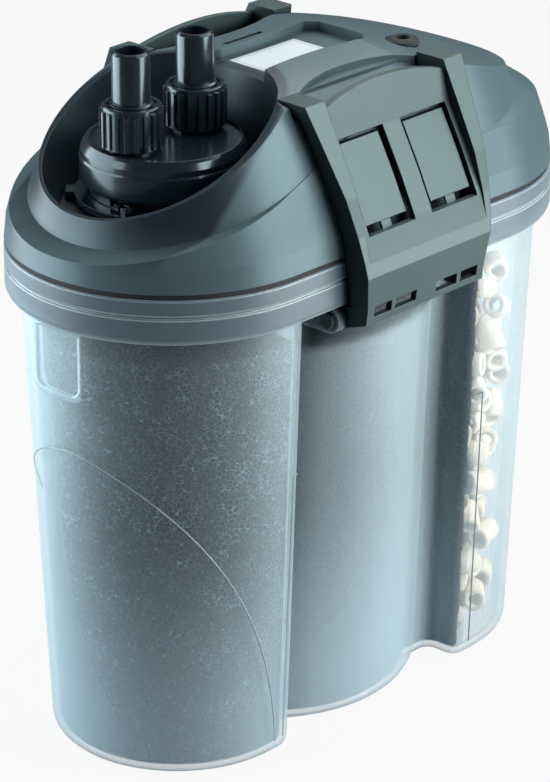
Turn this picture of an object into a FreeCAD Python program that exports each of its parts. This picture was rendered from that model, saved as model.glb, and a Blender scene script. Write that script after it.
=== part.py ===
import FreeCAD, Part
import math
import os
import re
import Sketcher
from FreeCAD import Placement, Rotation, Vector

# External canister filter for an aquarium. Millimetres, +Z up.
# The origin is the centre of the underside. +X is the long axis, towards the pump end, and -X is the
# end with the hose adapter. -Y is the side of the near latch, +Y the side of the far latch.

DIMENSIONS = [
    # Canister tub: a racetrack in plan, with a notch each side of the bulge in its long sides.
    ("lobe_offset", 70.0, "centre of the tub to the axis of each round end"),
    ("top_radius", 66.5, "outer radius of a round end under the rim"),
    ("tub_draft", 9.0, "how much narrower a round end is at the floor"),
    ("shell_wall", 3.0, "wall and floor of the tub"),
    ("floor_round", 6.5, "radius between floor and wall"),
    ("lobe_corner", 8.0, "corner radius where a round end turns into the notch"),
    ("flank_offset", 55.0, "centre of the tub to the flank of a round end"),
    ("notch_round", 3.0, "radius in the corner of the notch"),
    ("notch_depth", 16.5, "side of a round end in to the bottom of the notch"),
    ("bulge_half", 44.0, "half length of the bulge"),
    ("bulge_height", 14.6, "how far the bulge stands out of the notch"),
    ("shell_height", 234.0, "floor to the top of the rim"),
    ("rim_height", 18.0, "height of the rim band"),
    ("rim_overhang", 7.0, "side of a round end out to the face of the rim band"),
    ("rim_wall", 3.5, "thickness of the rim band"),
    ("rim_groove", 1.0, "depth and half height of the groove round the rim"),
    ("groove_drop", 7.0, "rim top to the groove"),
    ("tab_width", 30.0, "width of the grip tab under the rim"),
    ("tab_height", 32.0, "height of the grip tab"),
    ("tab_depth", 5.0, "how far the grip tab stands out"),
    ("tab_round", 6.0, "lower corners of the grip tab"),
    # Latches and their hinges.
    ("pin_radius", 2.2, "latch hinge pin"),
    ("pin_inset", 7.0, "face of the rim band in to the hinge pins"),
    ("pin_drop", 27.5, "rim top down to the hinge pins"),
    ("pin_clearance", 0.06, "radial running clearance of the hinge pins"),
    ("lug_thickness", 5.0, "hinge lug on the tub"),
    ("lug_meat", 4.0, "hinge lug round its pin"),
    ("lug_gap", 0.5, "side clearance between latch and hinge lug"),
    ("pin_head", 1.8, "thickness of the head of a hinge pin"),
    ("pin_head_rim", 1.6, "how far the head of a hinge pin stands out of its shank"),
    ("eye_meat", 3.6, "latch arm round its pin"),
    ("latch_half", 38.0, "half width of the latch plate"),
    ("arm_flare", 12.0, "how far the arms lean out at the top"),
    ("arm_inset", 3.0, "how far the arm runs in behind the plate"),
    ("latch_wall", 3.0, "thickness of the latch plate"),
    ("latch_gap", 0.7, "clearance behind the latch"),
    ("hook_length", 15.6, "how far a hook reaches in over the head"),
    ("hook_height", 6.4, "height of a hook"),
    ("hook_top", 68.0, "rim top up to the top of the hooks"),
    ("window_inner", 5.5, "centre plane to the near side of a latch window"),
    ("window_margin", 2.0, "latch window to the side of the plate"),
    ("window_low", 12.0, "rim top to the lower edge of the latch windows"),
    ("window_top", 50.5, "rim top to the upper edge of the latch windows"),
    ("window_gap", 2.5, "slot between a window and its pad"),
    ("pad_setback", 1.8, "how far a pad lies behind the plate"),
    ("pad_wall", 2.0, "thickness of a pad"),
    ("pad_web", 6.0, "width of the web that carries a pad"),
    ("plate_crest", 1.5, "top of the hooks to the top of the arched plate"),
    ("plate_sag", 5.5, "how far the arched plate falls to its sides"),
    ("strip_slot", 5.0, "height of the slots in the bottom strip"),
    ("strip_rise", 3.0, "hinge pins to the slots in the bottom strip"),
    ("strip_inner", 6.5, "centre plane to the inner slots"),
    ("strip_outer", 4.5, "outer slots to the side of the plate"),
    ("strip_long", 13.5, "length of an inner slot"),
    ("strip_short", 11.0, "length of an outer slot"),
    # Seam.
    ("seal_height", 2.5, "compressed height of the rim gasket"),
    ("seal_width", 2.4, "width of the rim gasket"),
    ("seal_setback", 1.2, "gasket edge behind the face of the rim"),
    # Head.
    ("head_setback", 0.2, "face of the rim band in to the face of the head at the seam"),
    ("cover_wall", 3.0, "wall of the head cover"),
    ("plate_thickness", 3.5, "head plate"),
    ("plate_gap", 0.3, "head plate to the cover around it"),
    ("plug_gap", 0.7, "head plug to the rim around it"),
    ("plug_wall", 2.6, "wall of the head plug"),
    ("plug_depth", 12.0, "how far the plug reaches into the rim"),
    ("crown_height", 71.0, "rim top to the crown of the head"),
    ("crown_radius", 250.0, "radius across the crown"),
    ("front_step", 9.0, "width of the ledge at the adapter end"),
    ("rear_step", 12.0, "width of the shoulder at the pump end"),
    ("tier_inset", 0.6, "inset of the upper tier along the sides"),
    ("ledge_start", 72.0, "axis of the front round end out to where the ledge starts to climb"),
    ("ledge_rise", 12.0, "rim top to the start of the ledge"),
    ("ledge_slope", 0.31, "climb of the ledge"),
    ("ledge_end", 20.0, "centre to where the ledge meets the shoulder"),
    ("top_start", 75.0, "axis of the front round end out to where the upper tier starts to climb"),
    ("top_rise", 17.4, "rim top to the start of the upper tier"),
    ("top_slope", 0.53, "climb of the upper tier at the adapter end"),
    ("bowl_rise", 20.0, "rim top to the floor of the adapter bowl"),
    ("bowl_side", 4.5, "drum to the side of the bowl at its floor"),
    ("bowl_end", 7.5, "half length of the bowl beyond the drum at its floor"),
    ("bowl_shift", 2.8, "axis of the adapter to the middle of the bowl's floor"),
    ("bowl_lean", 20.5, "how far the middle of the bowl moves out towards the mouth"),
    ("bowl_mouth", 86.0, "rim top to the mouth that the bowl widens to"),
    ("mouth_side", 21.0, "how much wider the mouth is to each side"),
    ("mouth_end", 29.0, "how much longer the mouth is to each end"),
    ("deck_rise", 65.3, "rim top to the sunk deck"),
    ("deck_half", 18.0, "half width of the sunk deck"),
    ("deck_end", 36.0, "centre to the pump end of the sunk deck"),
    ("deck_corner", 5.0, "chamfer of the sunk deck at the pump end"),
    ("deck_waist", 3.0, "how far the long sides of the sunk deck draw in"),
    ("deck_flare", 8.0, "how far they spread at the bowl"),
    ("finger_margin", 0.5, "side of a finger pocket to the side of the latch plate"),
    ("finger_inset", 40.5, "face of the rim band in to the back of the finger pocket"),
    ("finger_bow", 10.0, "how far the back of the finger pocket is bowed"),
    # Hose adapter.
    ("adapter_ahead", 5.2, "axis of the front round end out to the axis of the hose adapter"),
    ("port_spacing", 38.2, "between the two hose tails"),
    ("drum_radius", 36.5, "adapter drum"),
    ("neck_setback", 4.0, "side of the drum in to its neck, inside the release collar"),
    ("drum_height", 21.5, "floor of the bowl to the top of the drum"),
    ("drum_top_height", 6.5, "height of the drum's top plate"),
    ("adapter_wall", 2.5, "wall of the adapter"),
    ("seat_gap", 0.4, "adapter to the floor of the bowl"),
    ("collar_width", 6.0, "width of the release collar"),
    ("collar_height", 2.6, "height of the release collar"),
    ("collar_gap", 0.4, "clearance of the release collar on the neck"),
    ("lever_width", 9.0, "width of the lever tab"),
    ("lever_length", 3.5, "how far the lever tab stands out of the collar"),
    ("port_radius", 7.0, "bore of the water ports"),
    ("spigot_wall", 2.5, "wall of the port spigots"),
    ("spigot_length", 10.4, "how far the spigots reach down out of the adapter"),
    ("port_clearance", 0.7, "spigot to the sleeve around it"),
    ("sleeve_wall", 1.5, "wall of a port sleeve"),
    ("sleeve_flange", 2.8, "width of a port sleeve's flange"),
    ("oring_cord", 0.8, "half thickness of the port O-rings"),
    ("foot_height", 0.8, "foot of the neck that keeps the release collar on"),
    ("foot_width", 1.7, "how far the foot of the neck stands out"),
    ("slot_height", 3.2, "height of the slot in the neck"),
    ("disc_height", 2.4, "thickness of the shut-off disc"),
    ("disc_gap", 0.3, "clearance above and below the shut-off disc"),
    ("post_radius", 3.0, "post that the shut-off disc turns on"),
    ("running_clearance", 0.06, "radial clearance of the disc on its post"),
    ("lip_depth", 1.2, "recess in the top of the adapter"),
    ("thread_depth", 0.7, "depth of the union thread"),
    ("washer_height", 0.8, "flat seal under a hose tail"),
    ("flange_height", 2.5, "flange of a hose tail"),
    ("tail_radius", 8.25, "outer radius of a hose tail"),
    ("tail_wall", 2.2, "wall of a hose tail"),
    ("tail_top", 90.5, "rim top to the end of the hose tails"),
    ("tail_chamfer", 1.0, "chamfer at the mouth of a hose tail"),
    ("nut_radius", 13.8, "outer radius of a union nut"),
    ("nut_bore", 11.2, "bore of a union nut"),
    ("nut_height", 19.0, "height of a union nut"),
    ("nut_ribs", 20, "ribs round a union nut"),
    ("nut_gap", 0.4, "nut to the drum below it"),
    ("nut_seat", 7.0, "top of a union nut down to the foot of the hose tail"),
    ("nut_lip", 1.6, "thickness of the lip that clamps a hose tail"),
    ("nut_mouth", 2.6, "gap round a hose tail at the top of its nut"),
    ("tail_bead", 1.2, "how far the bead of a hose tail stands out"),
    ("bead_height", 1.2, "height of that bead"),
    ("bead_slope", 0.5, "height of the slopes above and below it"),
    ("thread_clearance", 0.3, "radial clearance of nut and spigot"),
    # Pump.
    ("volute_radius", 31.0, "outer radius of the pump chamber"),
    ("volute_wall", 2.5, "wall of the pump chamber"),
    ("volute_depth", 18.0, "depth of the pump chamber under the head plate"),
    ("volute_lid", 2.5, "thickness of the pump chamber's lid"),
    ("volute_seal_height", 1.0, "compressed height of the pump chamber's seal"),
    ("outlet_half", 9.0, "half width of the pump outlet"),
    ("suction_radius", 10.0, "suction hole of the pump"),
    ("can_radius", 16.0, "outer radius of the rotor can"),
    ("can_wall", 1.5, "wall of the rotor can"),
    ("can_height", 36.0, "height of the rotor can"),
    ("can_flange", 8.0, "width of the rotor can's flange"),
    ("can_flange_height", 3.0, "thickness of the rotor can's flange"),
    ("can_shoulder", 2.0, "width of the shoulder that carries the stator"),
    ("can_cap", 4.0, "closed end of the rotor can"),
    ("rotor_gap", 0.7, "rotor magnet to the can around it"),
    ("shaft_radius", 2.0, "ceramic shaft"),
    ("shaft_clearance", 0.05, "radial running clearance on the shaft"),
    ("bush_radius", 4.5, "rubber bush at each end of the shaft"),
    ("impeller_radius", 22.0, "impeller over its blades"),
    ("impeller_height", 9.0, "height of the impeller blades"),
    ("blade_count", 7, "impeller blades"),
    ("core_rise", 10.5, "head plate to the underside of the stator core"),
    ("core_height", 22.0, "height of the stator core"),
    ("core_yoke", 12.0, "width of the yoke that joins the stator legs"),
    ("core_tip", 2.0, "how far the stator legs reach past the rotor can"),
    ("core_side", 5.0, "rotor can to the outside of a stator leg"),
    ("leg_width", 12.0, "width of a stator leg"),
    ("core_gap", 0.3, "stator core to the rotor can"),
    ("coil_gap", 0.5, "coil to the shoulder of the rotor can"),
    ("coil_play", 1.5, "coil to the yoke"),
    ("coil_length", 18.0, "length of a coil"),
    ("coil_depth", 7.0, "how far a coil stands out of its leg"),
    ("duct_width", 27.0, "outlet duct under the head plate"),
    ("duct_wall", 2.0, "wall of the outlet duct"),
    ("duct_depth", 15.0, "depth of the outlet duct"),
    ("screw_radius", 1.6, "shank of a cover screw"),
    ("screw_head", 3.2, "head of a cover screw"),
    ("screw_length", 14.0, "length of a cover screw"),
    ("boss_wall", 2.4, "wall of a screw boss"),
    ("boss_rib", 2.0, "thickness of the rib from a screw boss to the wall"),
    ("screw_front", 30.0, "front screws beyond the axis of the front round end"),
    ("screw_front_in", 21.3, "face of the head in to the front screws"),
    ("screw_middle_in", 15.3, "face of the head in to the middle screws"),
    ("screw_rear", 35.0, "rear screws beyond the axis of the rear round end"),
    ("screw_rear_in", 27.3, "face of the head in to the rear screws"),
    ("gland_x", 47.0, "axis of the cord gland along X"),
    ("gland_y", -27.0, "axis of the cord gland along Y"),
    ("gland_radius", 5.5, "outer radius of the cord gland"),
    ("cord_radius", 3.2, "bore of the cord gland"),
    ("gland_seat", 4.5, "crown down to the seat of the cord gland"),
    ("gland_flange", 1.8, "width of the cord gland's flange"),
    ("crown_slot_width", 3.0, "slot in the crown beside the deck"),
    ("crown_slot_length", 24.0, "length of that slot"),
    ("crown_slot_depth", 3.0, "depth of that slot"),
    ("crown_slot_gap", 1.5, "deck to that slot"),
    ("label_length", 41.0, "blank rating label along X"),
    ("label_width", 26.0, "blank rating label along Y"),
    ("label_height", 0.3, "thickness of the rating label"),
    # Filter media and what holds it.
    ("media_gap", 0.6, "clearance between the tub and what stands in it"),
    ("media_drop", 34.0, "rim top down to the top of the media"),
    ("front_divider_in", 6.5, "flank of the front round end in to the front divider"),
    ("rear_divider_out", 7.5, "flank of the rear round end out to the rear divider"),
    ("divider_drop", 29.0, "rim top down to the top of the dividers"),
    ("divider_wall", 2.5, "thickness of a divider"),
    ("slot_pitch", 12.0, "pitch of the slots through a divider"),
    ("slot_width", 6.0, "width of a slot through a divider"),
    ("slot_reach", 26.0, "centre plane to the last slot of a divider, at most"),
    ("slot_rise", 4.0, "floor of the tub to the slots"),
    ("slot_tall", 16.0, "height of a slot through a divider"),
    ("ring_radius", 7.0, "outer radius of a ceramic ring"),
    ("ring_bore", 3.5, "inner radius of a ceramic ring"),
    ("ring_length", 16.0, "length of a ceramic ring"),
    ("ring_gap", 0.5, "between ceramic rings"),
]

# Sizes and places that follow from the dimensions above.
DERIVED = [
    ("base_radius", "top_radius - tub_draft", "outer radius of a round end at the floor"),
    ("notch_base", "base_radius - notch_depth", "half width of the tub in the notch, at the floor"),
    ("rim_radius", "top_radius + rim_overhang", "outer radius of the rim band"),
    ("head_radius", "rim_radius - head_setback", "outer radius of the head at the seam"),
    ("pin_reach", "rim_radius - pin_inset", "centre plane to the hinge pins"),
    ("arm_top_half", "latch_half + arm_flare", "half width over the latch arms at the top"),
    ("window_outer", "latch_half - window_margin", "centre plane to the far side of a latch window"),
    ("finger_half", "latch_half - finger_margin", "half width of a finger pocket"),
    ("finger_reach", "rim_radius - finger_inset", "centre plane to the back of a finger pocket"),
    ("adapter_x", "-lobe_offset - adapter_ahead", "axis of the hose adapter"),
    ("drum_neck", "drum_radius - neck_setback", "radius of the drum's neck"),
    ("bowl_half", "drum_radius + bowl_side", "half width of the bowl at its floor"),
    ("bowl_reach", "drum_radius + bowl_end", "half length of the bowl at its floor"),
    ("pump_x", "lobe_offset", "axis of the pump"),
    ("core_front", "can_radius + core_tip", "pump axis to the tips of the stator core"),
    ("core_back", "can_radius + can_shoulder + coil_gap + coil_length + coil_play + core_yoke",
     "pump axis to the back of the stator core"),
    ("leg_outer", "can_radius + core_side", "centre plane to the outside of a stator leg"),
    ("leg_inner", "leg_outer - leg_width", "centre plane to the inside of a stator leg"),
    ("media_top", "shell_height - media_drop", "top of the media"),
    ("divider_top", "shell_height - divider_drop", "top of the dividers"),
    ("front_divider_x", "flank_offset - front_divider_in", "centre to the front divider"),
    ("rear_divider_x", "flank_offset + rear_divider_out", "centre to the rear divider"),
]
ALIASES = {alias for alias, _, _ in DIMENSIONS + DERIVED}

# Side view of a latch, from the top down: how far outside the face of the rim band, and the rise over
# the rim top. The arms and the plate share their lower part.
LATCH_FOOT = [(11.9, 1.3), (12.7, -5.1), (9.9, -27.5)]
ARM_FRONT = [(-14.9, 68.0), (-5.6, 49.7), (4.2, 29.9), (9.2, 13.6)] + LATCH_FOOT
PLATE_FRONT = [(-17.0, 70.0), (-11.0, 50.2), (-0.1, 30.4), (8.1, 13.6)] + LATCH_FOOT
ARM_BACK = [(-1.0 + 0.7, 13.0), (-6.1, 30.0), (-13.1, 49.7)]
# Side of the head: inset from its radius at the seam, and rise over the rim top.
DOME = [(1.1, 12.5), (11.8, 44.0), (29.3, 78.0)]
# Shoulder at the pump end, in the same way.
SHOULDER = [(-16.7, 22.0), (6.8, 31.0), (25.3, 43.0)]
# Top line of the head past the axis of the rear round end, and its fall below the crown.
RIDGE = [(-42.0, 0.0), (-15.0, 4.5), (10.0, 12.0), (30.0, 19.5), (49.0, 27.5), (80.0, 43.0)]
# Floor of a finger pocket: how far outside the face of the rim band, and the rise over the rim top.
POCKET_FLOOR = [(-34.5, 66.0), (-34.5, 64.0), (-11.5, 50.5), (26.5, 28.0)]
# Further than any part of the filter reaches from its centre, in plan.
BEYOND = 250.0

# Heights that several pieces share, written with the dimensions above.
SEAM = "(shell_height + seal_height)"
PLATE_TOP = "(shell_height + seal_height + plate_thickness)"
FLANGE_TOP = "(shell_height - rim_height)"
FLANGE_BOTTOM = "(shell_height - rim_height - shell_wall)"
BOWL_FLOOR = "(shell_height + bowl_rise)"
ADAPTER_BASE = "(shell_height + bowl_rise + seat_gap)"
DRUM_TOP = "(shell_height + bowl_rise + drum_height)"
DRUM_LID_TOP = "(shell_height + bowl_rise + drum_height + drum_top_height)"
NUT_BASE = "(shell_height + bowl_rise + drum_height + drum_top_height + nut_gap)"
TAIL_TOP = "(shell_height + tail_top)"
DECK = "(shell_height + deck_rise)"
CROWN = "(shell_height + crown_height)"
HOOK_TOP = "(shell_height + hook_top)"
PIN_Z = "(shell_height - pin_drop)"
INLET_X = "(adapter_x - port_spacing / 2)"
OUTLET_X = "(adapter_x + port_spacing / 2)"
LID_FLOOR = "(shell_height + bowl_rise + drum_height + drum_top_height - lip_depth)"
NUT_TOP = "(shell_height + bowl_rise + drum_height + drum_top_height + nut_gap + nut_height)"
TAIL_BASE = "(shell_height + bowl_rise + drum_height + drum_top_height + nut_gap + nut_height - nut_seat)"
SLOT_Z = "(shell_height + bowl_rise + seat_gap + 4.2)"
DISC_Z = "(shell_height + bowl_rise + seat_gap + 4.6)"
COLLAR_Z = "(shell_height + bowl_rise + seat_gap + foot_height + 0.3)"
SLEEVE_BORE = "(port_radius + spigot_wall + port_clearance)"
SLEEVE_OUTER = "(port_radius + spigot_wall + port_clearance + sleeve_wall)"
VOLUTE_BASE = "(shell_height + seal_height - volute_depth)"
CORE_BASE = "(shell_height + seal_height + plate_thickness + core_rise)"
CAN_TOP = "(shell_height + seal_height + plate_thickness + can_height)"

doc = FreeCAD.newDocument("canister_filter")
sheet = doc.addObject("Spreadsheet::Sheet", "Dims")
nodes = []


def fill_sheet():
    """A row for each dimension: its name, its number or formula under that alias, and its meaning."""
    rows = DIMENSIONS + [(alias, "=" + formula, meaning) for alias, formula, meaning in DERIVED]
    for row, (alias, content, meaning) in enumerate(rows, start=1):
        sheet.setAlias(f"B{row}", alias)
        sheet.set(f"A{row}", alias)
        sheet.set(f"B{row}", str(content))
        sheet.set(f"C{row}", meaning)
    doc.recompute()


def bind(text):
    """The expression with each dimension name turned into its spreadsheet cell."""
    return re.sub(r"[a-z_]+", lambda m: "Dims." + m[0] if m[0] in ALIASES else m[0], text)


def val(text):
    """The number that an expression in dimension names stands for."""
    return float(sheet.evalExpression(bind(text)))


# ---------------------------------------------------------------- document helpers


def keep(item, name):
    """Name a finished sub-part and put it on the list that is exported."""
    item.Label = name
    nodes.append(item)
    return item


def place(item, x="0", y="0", z="0"):
    """Tie an object's position to expressions."""
    for axis, text in (("x", x), ("y", y), ("z", z)):
        item.setExpression(f".Placement.Base.{axis}", bind(text))


def feature(name, shape, turn=0):
    """A sub-part whose shape comes from the Part functions below, turned about the Z axis."""
    item = doc.addObject("Part::Feature", name + "_solid")
    item.Shape = shape
    item.Placement = Placement(Vector(0, 0, 0), Rotation(Vector(0, 0, 1), turn))
    return keep(item, name)


def new_body(name, x="0", y="0", z="0"):
    body = doc.addObject("PartDesign::Body", name + "_body")
    place(body, x, y, z)
    return keep(body, name)


def origin_plane(body, role):
    return next(item for item in body.Origin.OriginFeatures if item.Role == role)


def new_sketch(body, name, role, lift="0"):
    """An empty sketch on one of the body's own origin planes, moved along its normal."""
    sketch = body.newObject("Sketcher::SketchObject", name)
    sketch.AttachmentSupport = [(origin_plane(body, role), "")]
    sketch.MapMode = "FlatFace"
    sketch.setExpression("AttachmentOffset.Base.z", bind(lift))
    return sketch


def pin_point(sketch, geometry, which, corner):
    """Fix one point of a sketch at a pair of expressions."""
    axes = (("DistanceX", -2), ("DistanceY", -1))
    for (kind, axis), text in zip(axes, corner):
        if text == "0":
            sketch.addConstraint(Sketcher.Constraint("PointOnObject", geometry, which, axis))
        else:
            rule = Sketcher.Constraint(kind, -1, 1, geometry, which, val(text))
            index = sketch.addConstraint(rule)
            sketch.setExpression(f"Constraints[{index}]", bind(text))


def add_outline(sketch, corners):
    """A closed polygon through corners, each a pair of expressions."""
    spots = [Vector(val(x), val(y), 0) for x, y in corners]
    first = sketch.GeometryCount
    count = len(spots)
    for index, spot in enumerate(spots):
        sketch.addGeometry(Part.LineSegment(spot, spots[(index + 1) % count]), False)
    for index in range(count):
        after = first + (index + 1) % count
        sketch.addConstraint(Sketcher.Constraint("Coincident", first + index, 2, after, 1))
    for index, corner in enumerate(corners):
        pin_point(sketch, first + index, 1, corner)


def add_circle(sketch, radius, x="0", y="0"):
    """A circle whose radius and centre are expressions."""
    centre = Vector(val(x), val(y), 0)
    index = sketch.addGeometry(Part.Circle(centre, Vector(0, 0, 1), val(radius)), False)
    rule = sketch.addConstraint(Sketcher.Constraint("Radius", index, val(radius)))
    sketch.setExpression(f"Constraints[{rule}]", bind(radius))
    if x == "0" and y == "0":
        sketch.addConstraint(Sketcher.Constraint("Coincident", index, 3, -1, 1))
    else:
        pin_point(sketch, index, 3, (x, y))


def box_corners(left, right, low, high):
    return [(left, low), (right, low), (right, high), (left, high)]


def turned_body(name, corners, x="0", y="0"):
    """A body of revolution about the vertical through (x, y); corners are (radius, height)."""
    body = new_body(name, x, y)
    sketch = new_sketch(body, name + "_section", "XZ_Plane")
    add_outline(sketch, corners)
    turn = body.newObject("PartDesign::Revolution", name + "_turn")
    turn.Profile = sketch
    turn.ReferenceAxis = (sketch, ["V_Axis"])
    turn.Angle = 360.0
    return body


def ring_corners(inner, outer, low, high):
    return [(inner, low), (outer, low), (outer, high), (inner, high)]


def pad(body, name, sketch, length):
    block = body.newObject("PartDesign::Pad", name)
    block.Profile = sketch
    block.setExpression("Length", bind(length))
    return block


def pocket(body, name, sketch, depth):
    """Cut from the sketch downwards, against its normal."""
    cut = body.newObject("PartDesign::Pocket", name)
    cut.Profile = sketch
    cut.setExpression("Length", bind(depth))
    return cut


def polar(body, name, source, count, role="Z_Axis"):
    """Repeat a feature evenly round the body's own axis."""
    ring = body.newObject("PartDesign::PolarPattern", name)
    ring.Originals = [source]
    ring.Axis = (origin_plane(body, role), [""])
    ring.Angle = 360.0
    ring.setExpression("Occurrences", bind(count))
    body.Tip = ring
    return ring


def torus(name, ring_radius, cord_radius, x, z):
    """An O-ring lying flat."""
    ring = doc.addObject("Part::Torus", name)
    ring.setExpression("Radius1", bind(ring_radius))
    ring.setExpression("Radius2", bind(cord_radius))
    place(ring, x, "0", z)
    return ring


def group(name, members):
    """Like pieces that share one node, as separate solids."""
    item = doc.addObject("Part::Compound", name + "_set")
    item.Links = members
    return keep(item, name)


# ---------------------------------------------------------------- shapes in plan


def arc(first, middle, last):
    return Part.Arc(first, middle, last).toShape()


def line(first, last):
    return Part.LineSegment(first, last).toShape()


def polygon_face(points):
    return Part.Face(Part.makePolygon(points + points[:1]))


def racetrack_face(radius, height, front, rear):
    """Two half circles about x = front and x = rear, joined by straight sides."""
    edges = [
        arc(Vector(front, radius, height), Vector(front - radius, 0, height), Vector(front, -radius, height)),
        line(Vector(front, -radius, height), Vector(rear, -radius, height)),
        arc(Vector(rear, -radius, height), Vector(rear + radius, 0, height), Vector(rear, radius, height)),
        line(Vector(rear, radius, height), Vector(front, radius, height)),
    ]
    return Part.Face(Part.Wire(edges))


def racetrack_ring(inner, outer, low, high):
    """A racetrack band between two radii, about the lobe axes."""
    lobe = val("lobe_offset")
    band = racetrack_face(outer, low, -lobe, lobe).extrude(Vector(0, 0, high - low))
    hole = racetrack_face(inner, low - 1, -lobe, lobe).extrude(Vector(0, 0, high - low + 2))
    return band.cut(hole)


def racetrack_turned(section, front, rear):
    """A section in (radius, height), carried round a racetrack with ends at x = front and rear."""
    upright = Vector(0, 0, 1)
    parts = []
    for centre, start in ((front, 90), (rear, -90)):
        turned = section.copy()
        turned.rotate(Vector(0, 0, 0), upright, start)
        turned.translate(Vector(centre, 0, 0))
        parts.append(turned.revolve(Vector(centre, 0, 0), upright, 180))
    for start in (-90, 90):
        side = section.copy()
        side.rotate(Vector(0, 0, 0), upright, start)
        side.translate(Vector(front, 0, 0))
        parts.append(side.extrude(Vector(rear - front, 0, 0)))
    return parts[0].fuse(parts[1:]).removeSplitter()


def section_face(points):
    """A closed polygon of (radius, height) points in the XZ plane."""
    return polygon_face([Vector(radius, 0, height) for radius, height in points])


def lobed_wire(height, grow, share):
    """Outline of the tub. share runs from 0 at the floor to 1 under the rim."""
    taper = (val("top_radius") - val("base_radius")) * share
    end = val("base_radius") + taper + grow
    waist = val("notch_base") + taper + grow
    crest = waist + val("bulge_height")
    bulge = val("bulge_half") + grow
    lobe = val("lobe_offset")
    flank = val("flank_offset") - grow
    corner = val("lobe_corner") + grow
    nook = val("notch_round") - grow
    slant = math.sqrt(0.5)

    def side(sign):
        """Edges of one long side, in the direction of +X."""
        def at(x, y):
            return Vector(x, sign * y, height)

        front = [
            line(at(-lobe, end), at(-flank - corner, end)),
            arc(at(-flank - corner, end),
                at(-flank - corner + corner * slant, end - corner + corner * slant),
                at(-flank, end - corner)),
            line(at(-flank, end - corner), at(-flank, waist + nook)),
            arc(at(-flank, waist + nook),
                at(-flank + nook - nook * slant, waist + nook - nook * slant),
                at(-flank + nook, waist)),
            line(at(-flank + nook, waist), at(-bulge, waist)),
        ]
        rear = [
            line(at(bulge, waist), at(flank - nook, waist)),
            arc(at(flank - nook, waist),
                at(flank - nook + nook * slant, waist + nook - nook * slant),
                at(flank, waist + nook)),
            line(at(flank, waist + nook), at(flank, end - corner)),
            arc(at(flank, end - corner),
                at(flank + corner - corner * slant, end - corner + corner * slant),
                at(flank + corner, end)),
            line(at(flank + corner, end), at(lobe, end)),
        ]
        return front + [arc(at(-bulge, waist), at(0, crest), at(bulge, waist))] + rear

    rear_end = arc(Vector(lobe, -end, height), Vector(lobe + end, 0, height), Vector(lobe, end, height))
    front_end = arc(Vector(-lobe, end, height), Vector(-lobe - end, 0, height), Vector(-lobe, -end, height))
    edges = side(-1) + [rear_end] + side(1) + [front_end]
    return Part.Wire(Part.__sortEdges__(edges))


def lobed_solid(low, high, grow, rounding=0.0):
    """A solid that follows the tapered wall of the tub, with a rounded lower edge."""
    full = val(FLANGE_BOTTOM)
    wires = []
    if rounding:
        for step in range(5):
            angle = math.radians(90 * step / 5)
            inset = rounding * (1 - math.sin(angle))
            height = low + rounding * (1 - math.cos(angle))
            wires.append(lobed_wire(height, grow - inset, height / full))
    start = low + rounding
    wires.append(lobed_wire(start, grow, start / full))
    wires.append(lobed_wire(high, grow, high / full))
    return Part.makeLoft(wires, True, True)


def slab(x_low, x_high, y_low, y_high, z_low, z_high):
    return Part.makeBox(x_high - x_low, y_high - y_low, z_high - z_low, Vector(x_low, y_low, z_low))


# ---------------------------------------------------------------- canister


def rim_section():
    """Section of the flange and rim band, with the groove round it."""
    outer, top, bottom = val("rim_radius"), val("shell_height"), val(FLANGE_BOTTOM)
    groove = val("rim_groove")
    groove_top = top - val("groove_drop")
    edge = val("shell_wall")
    inner = outer - val("rim_wall")
    middle = val("notch_base") / 2
    return section_face([
        (middle, bottom), (outer - edge, bottom), (outer - edge * 0.3, bottom + edge * 0.3),
        (outer, bottom + edge), (outer, groove_top - 2 * groove), (outer - groove, groove_top - 1.5 * groove),
        (outer - groove, groove_top - 0.5 * groove), (outer, groove_top), (outer, top - 0.6),
        (outer - 0.6, top), (inner, top), (inner, val(FLANGE_TOP)), (middle, val(FLANGE_TOP)),
    ])


def grip_tab():
    """The tongue under the rim at the adapter end, with a shallow panel in its face."""
    def tongue(inset, x_low, x_high):
        half = val("tab_width") / 2 - inset
        corner = val("tab_round") - inset / 2
        top, low = val(FLANGE_BOTTOM) + 1 - inset, val(FLANGE_BOTTOM) - val("tab_height") + inset
        slant = corner * (1 - math.sqrt(0.5))
        edges = [
            line(Vector(x_low, -half, top), Vector(x_low, -half, low + corner)),
            arc(Vector(x_low, -half, low + corner), Vector(x_low, -half + slant, low + slant),
                Vector(x_low, -half + corner, low)),
            line(Vector(x_low, -half + corner, low), Vector(x_low, half - corner, low)),
            arc(Vector(x_low, half - corner, low), Vector(x_low, half - slant, low + slant),
                Vector(x_low, half, low + corner)),
            line(Vector(x_low, half, low + corner), Vector(x_low, half, top)),
            line(Vector(x_low, half, top), Vector(x_low, -half, top)),
        ]
        return Part.Face(Part.Wire(edges)).extrude(Vector(x_high - x_low, 0, 0))

    wall = -(val("lobe_offset") + val("top_radius"))
    face = wall + 1 - val("tab_depth")
    return tongue(0.0, face, wall + 12).cut(tongue(2.5, face - 1, face + 1.2))


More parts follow.
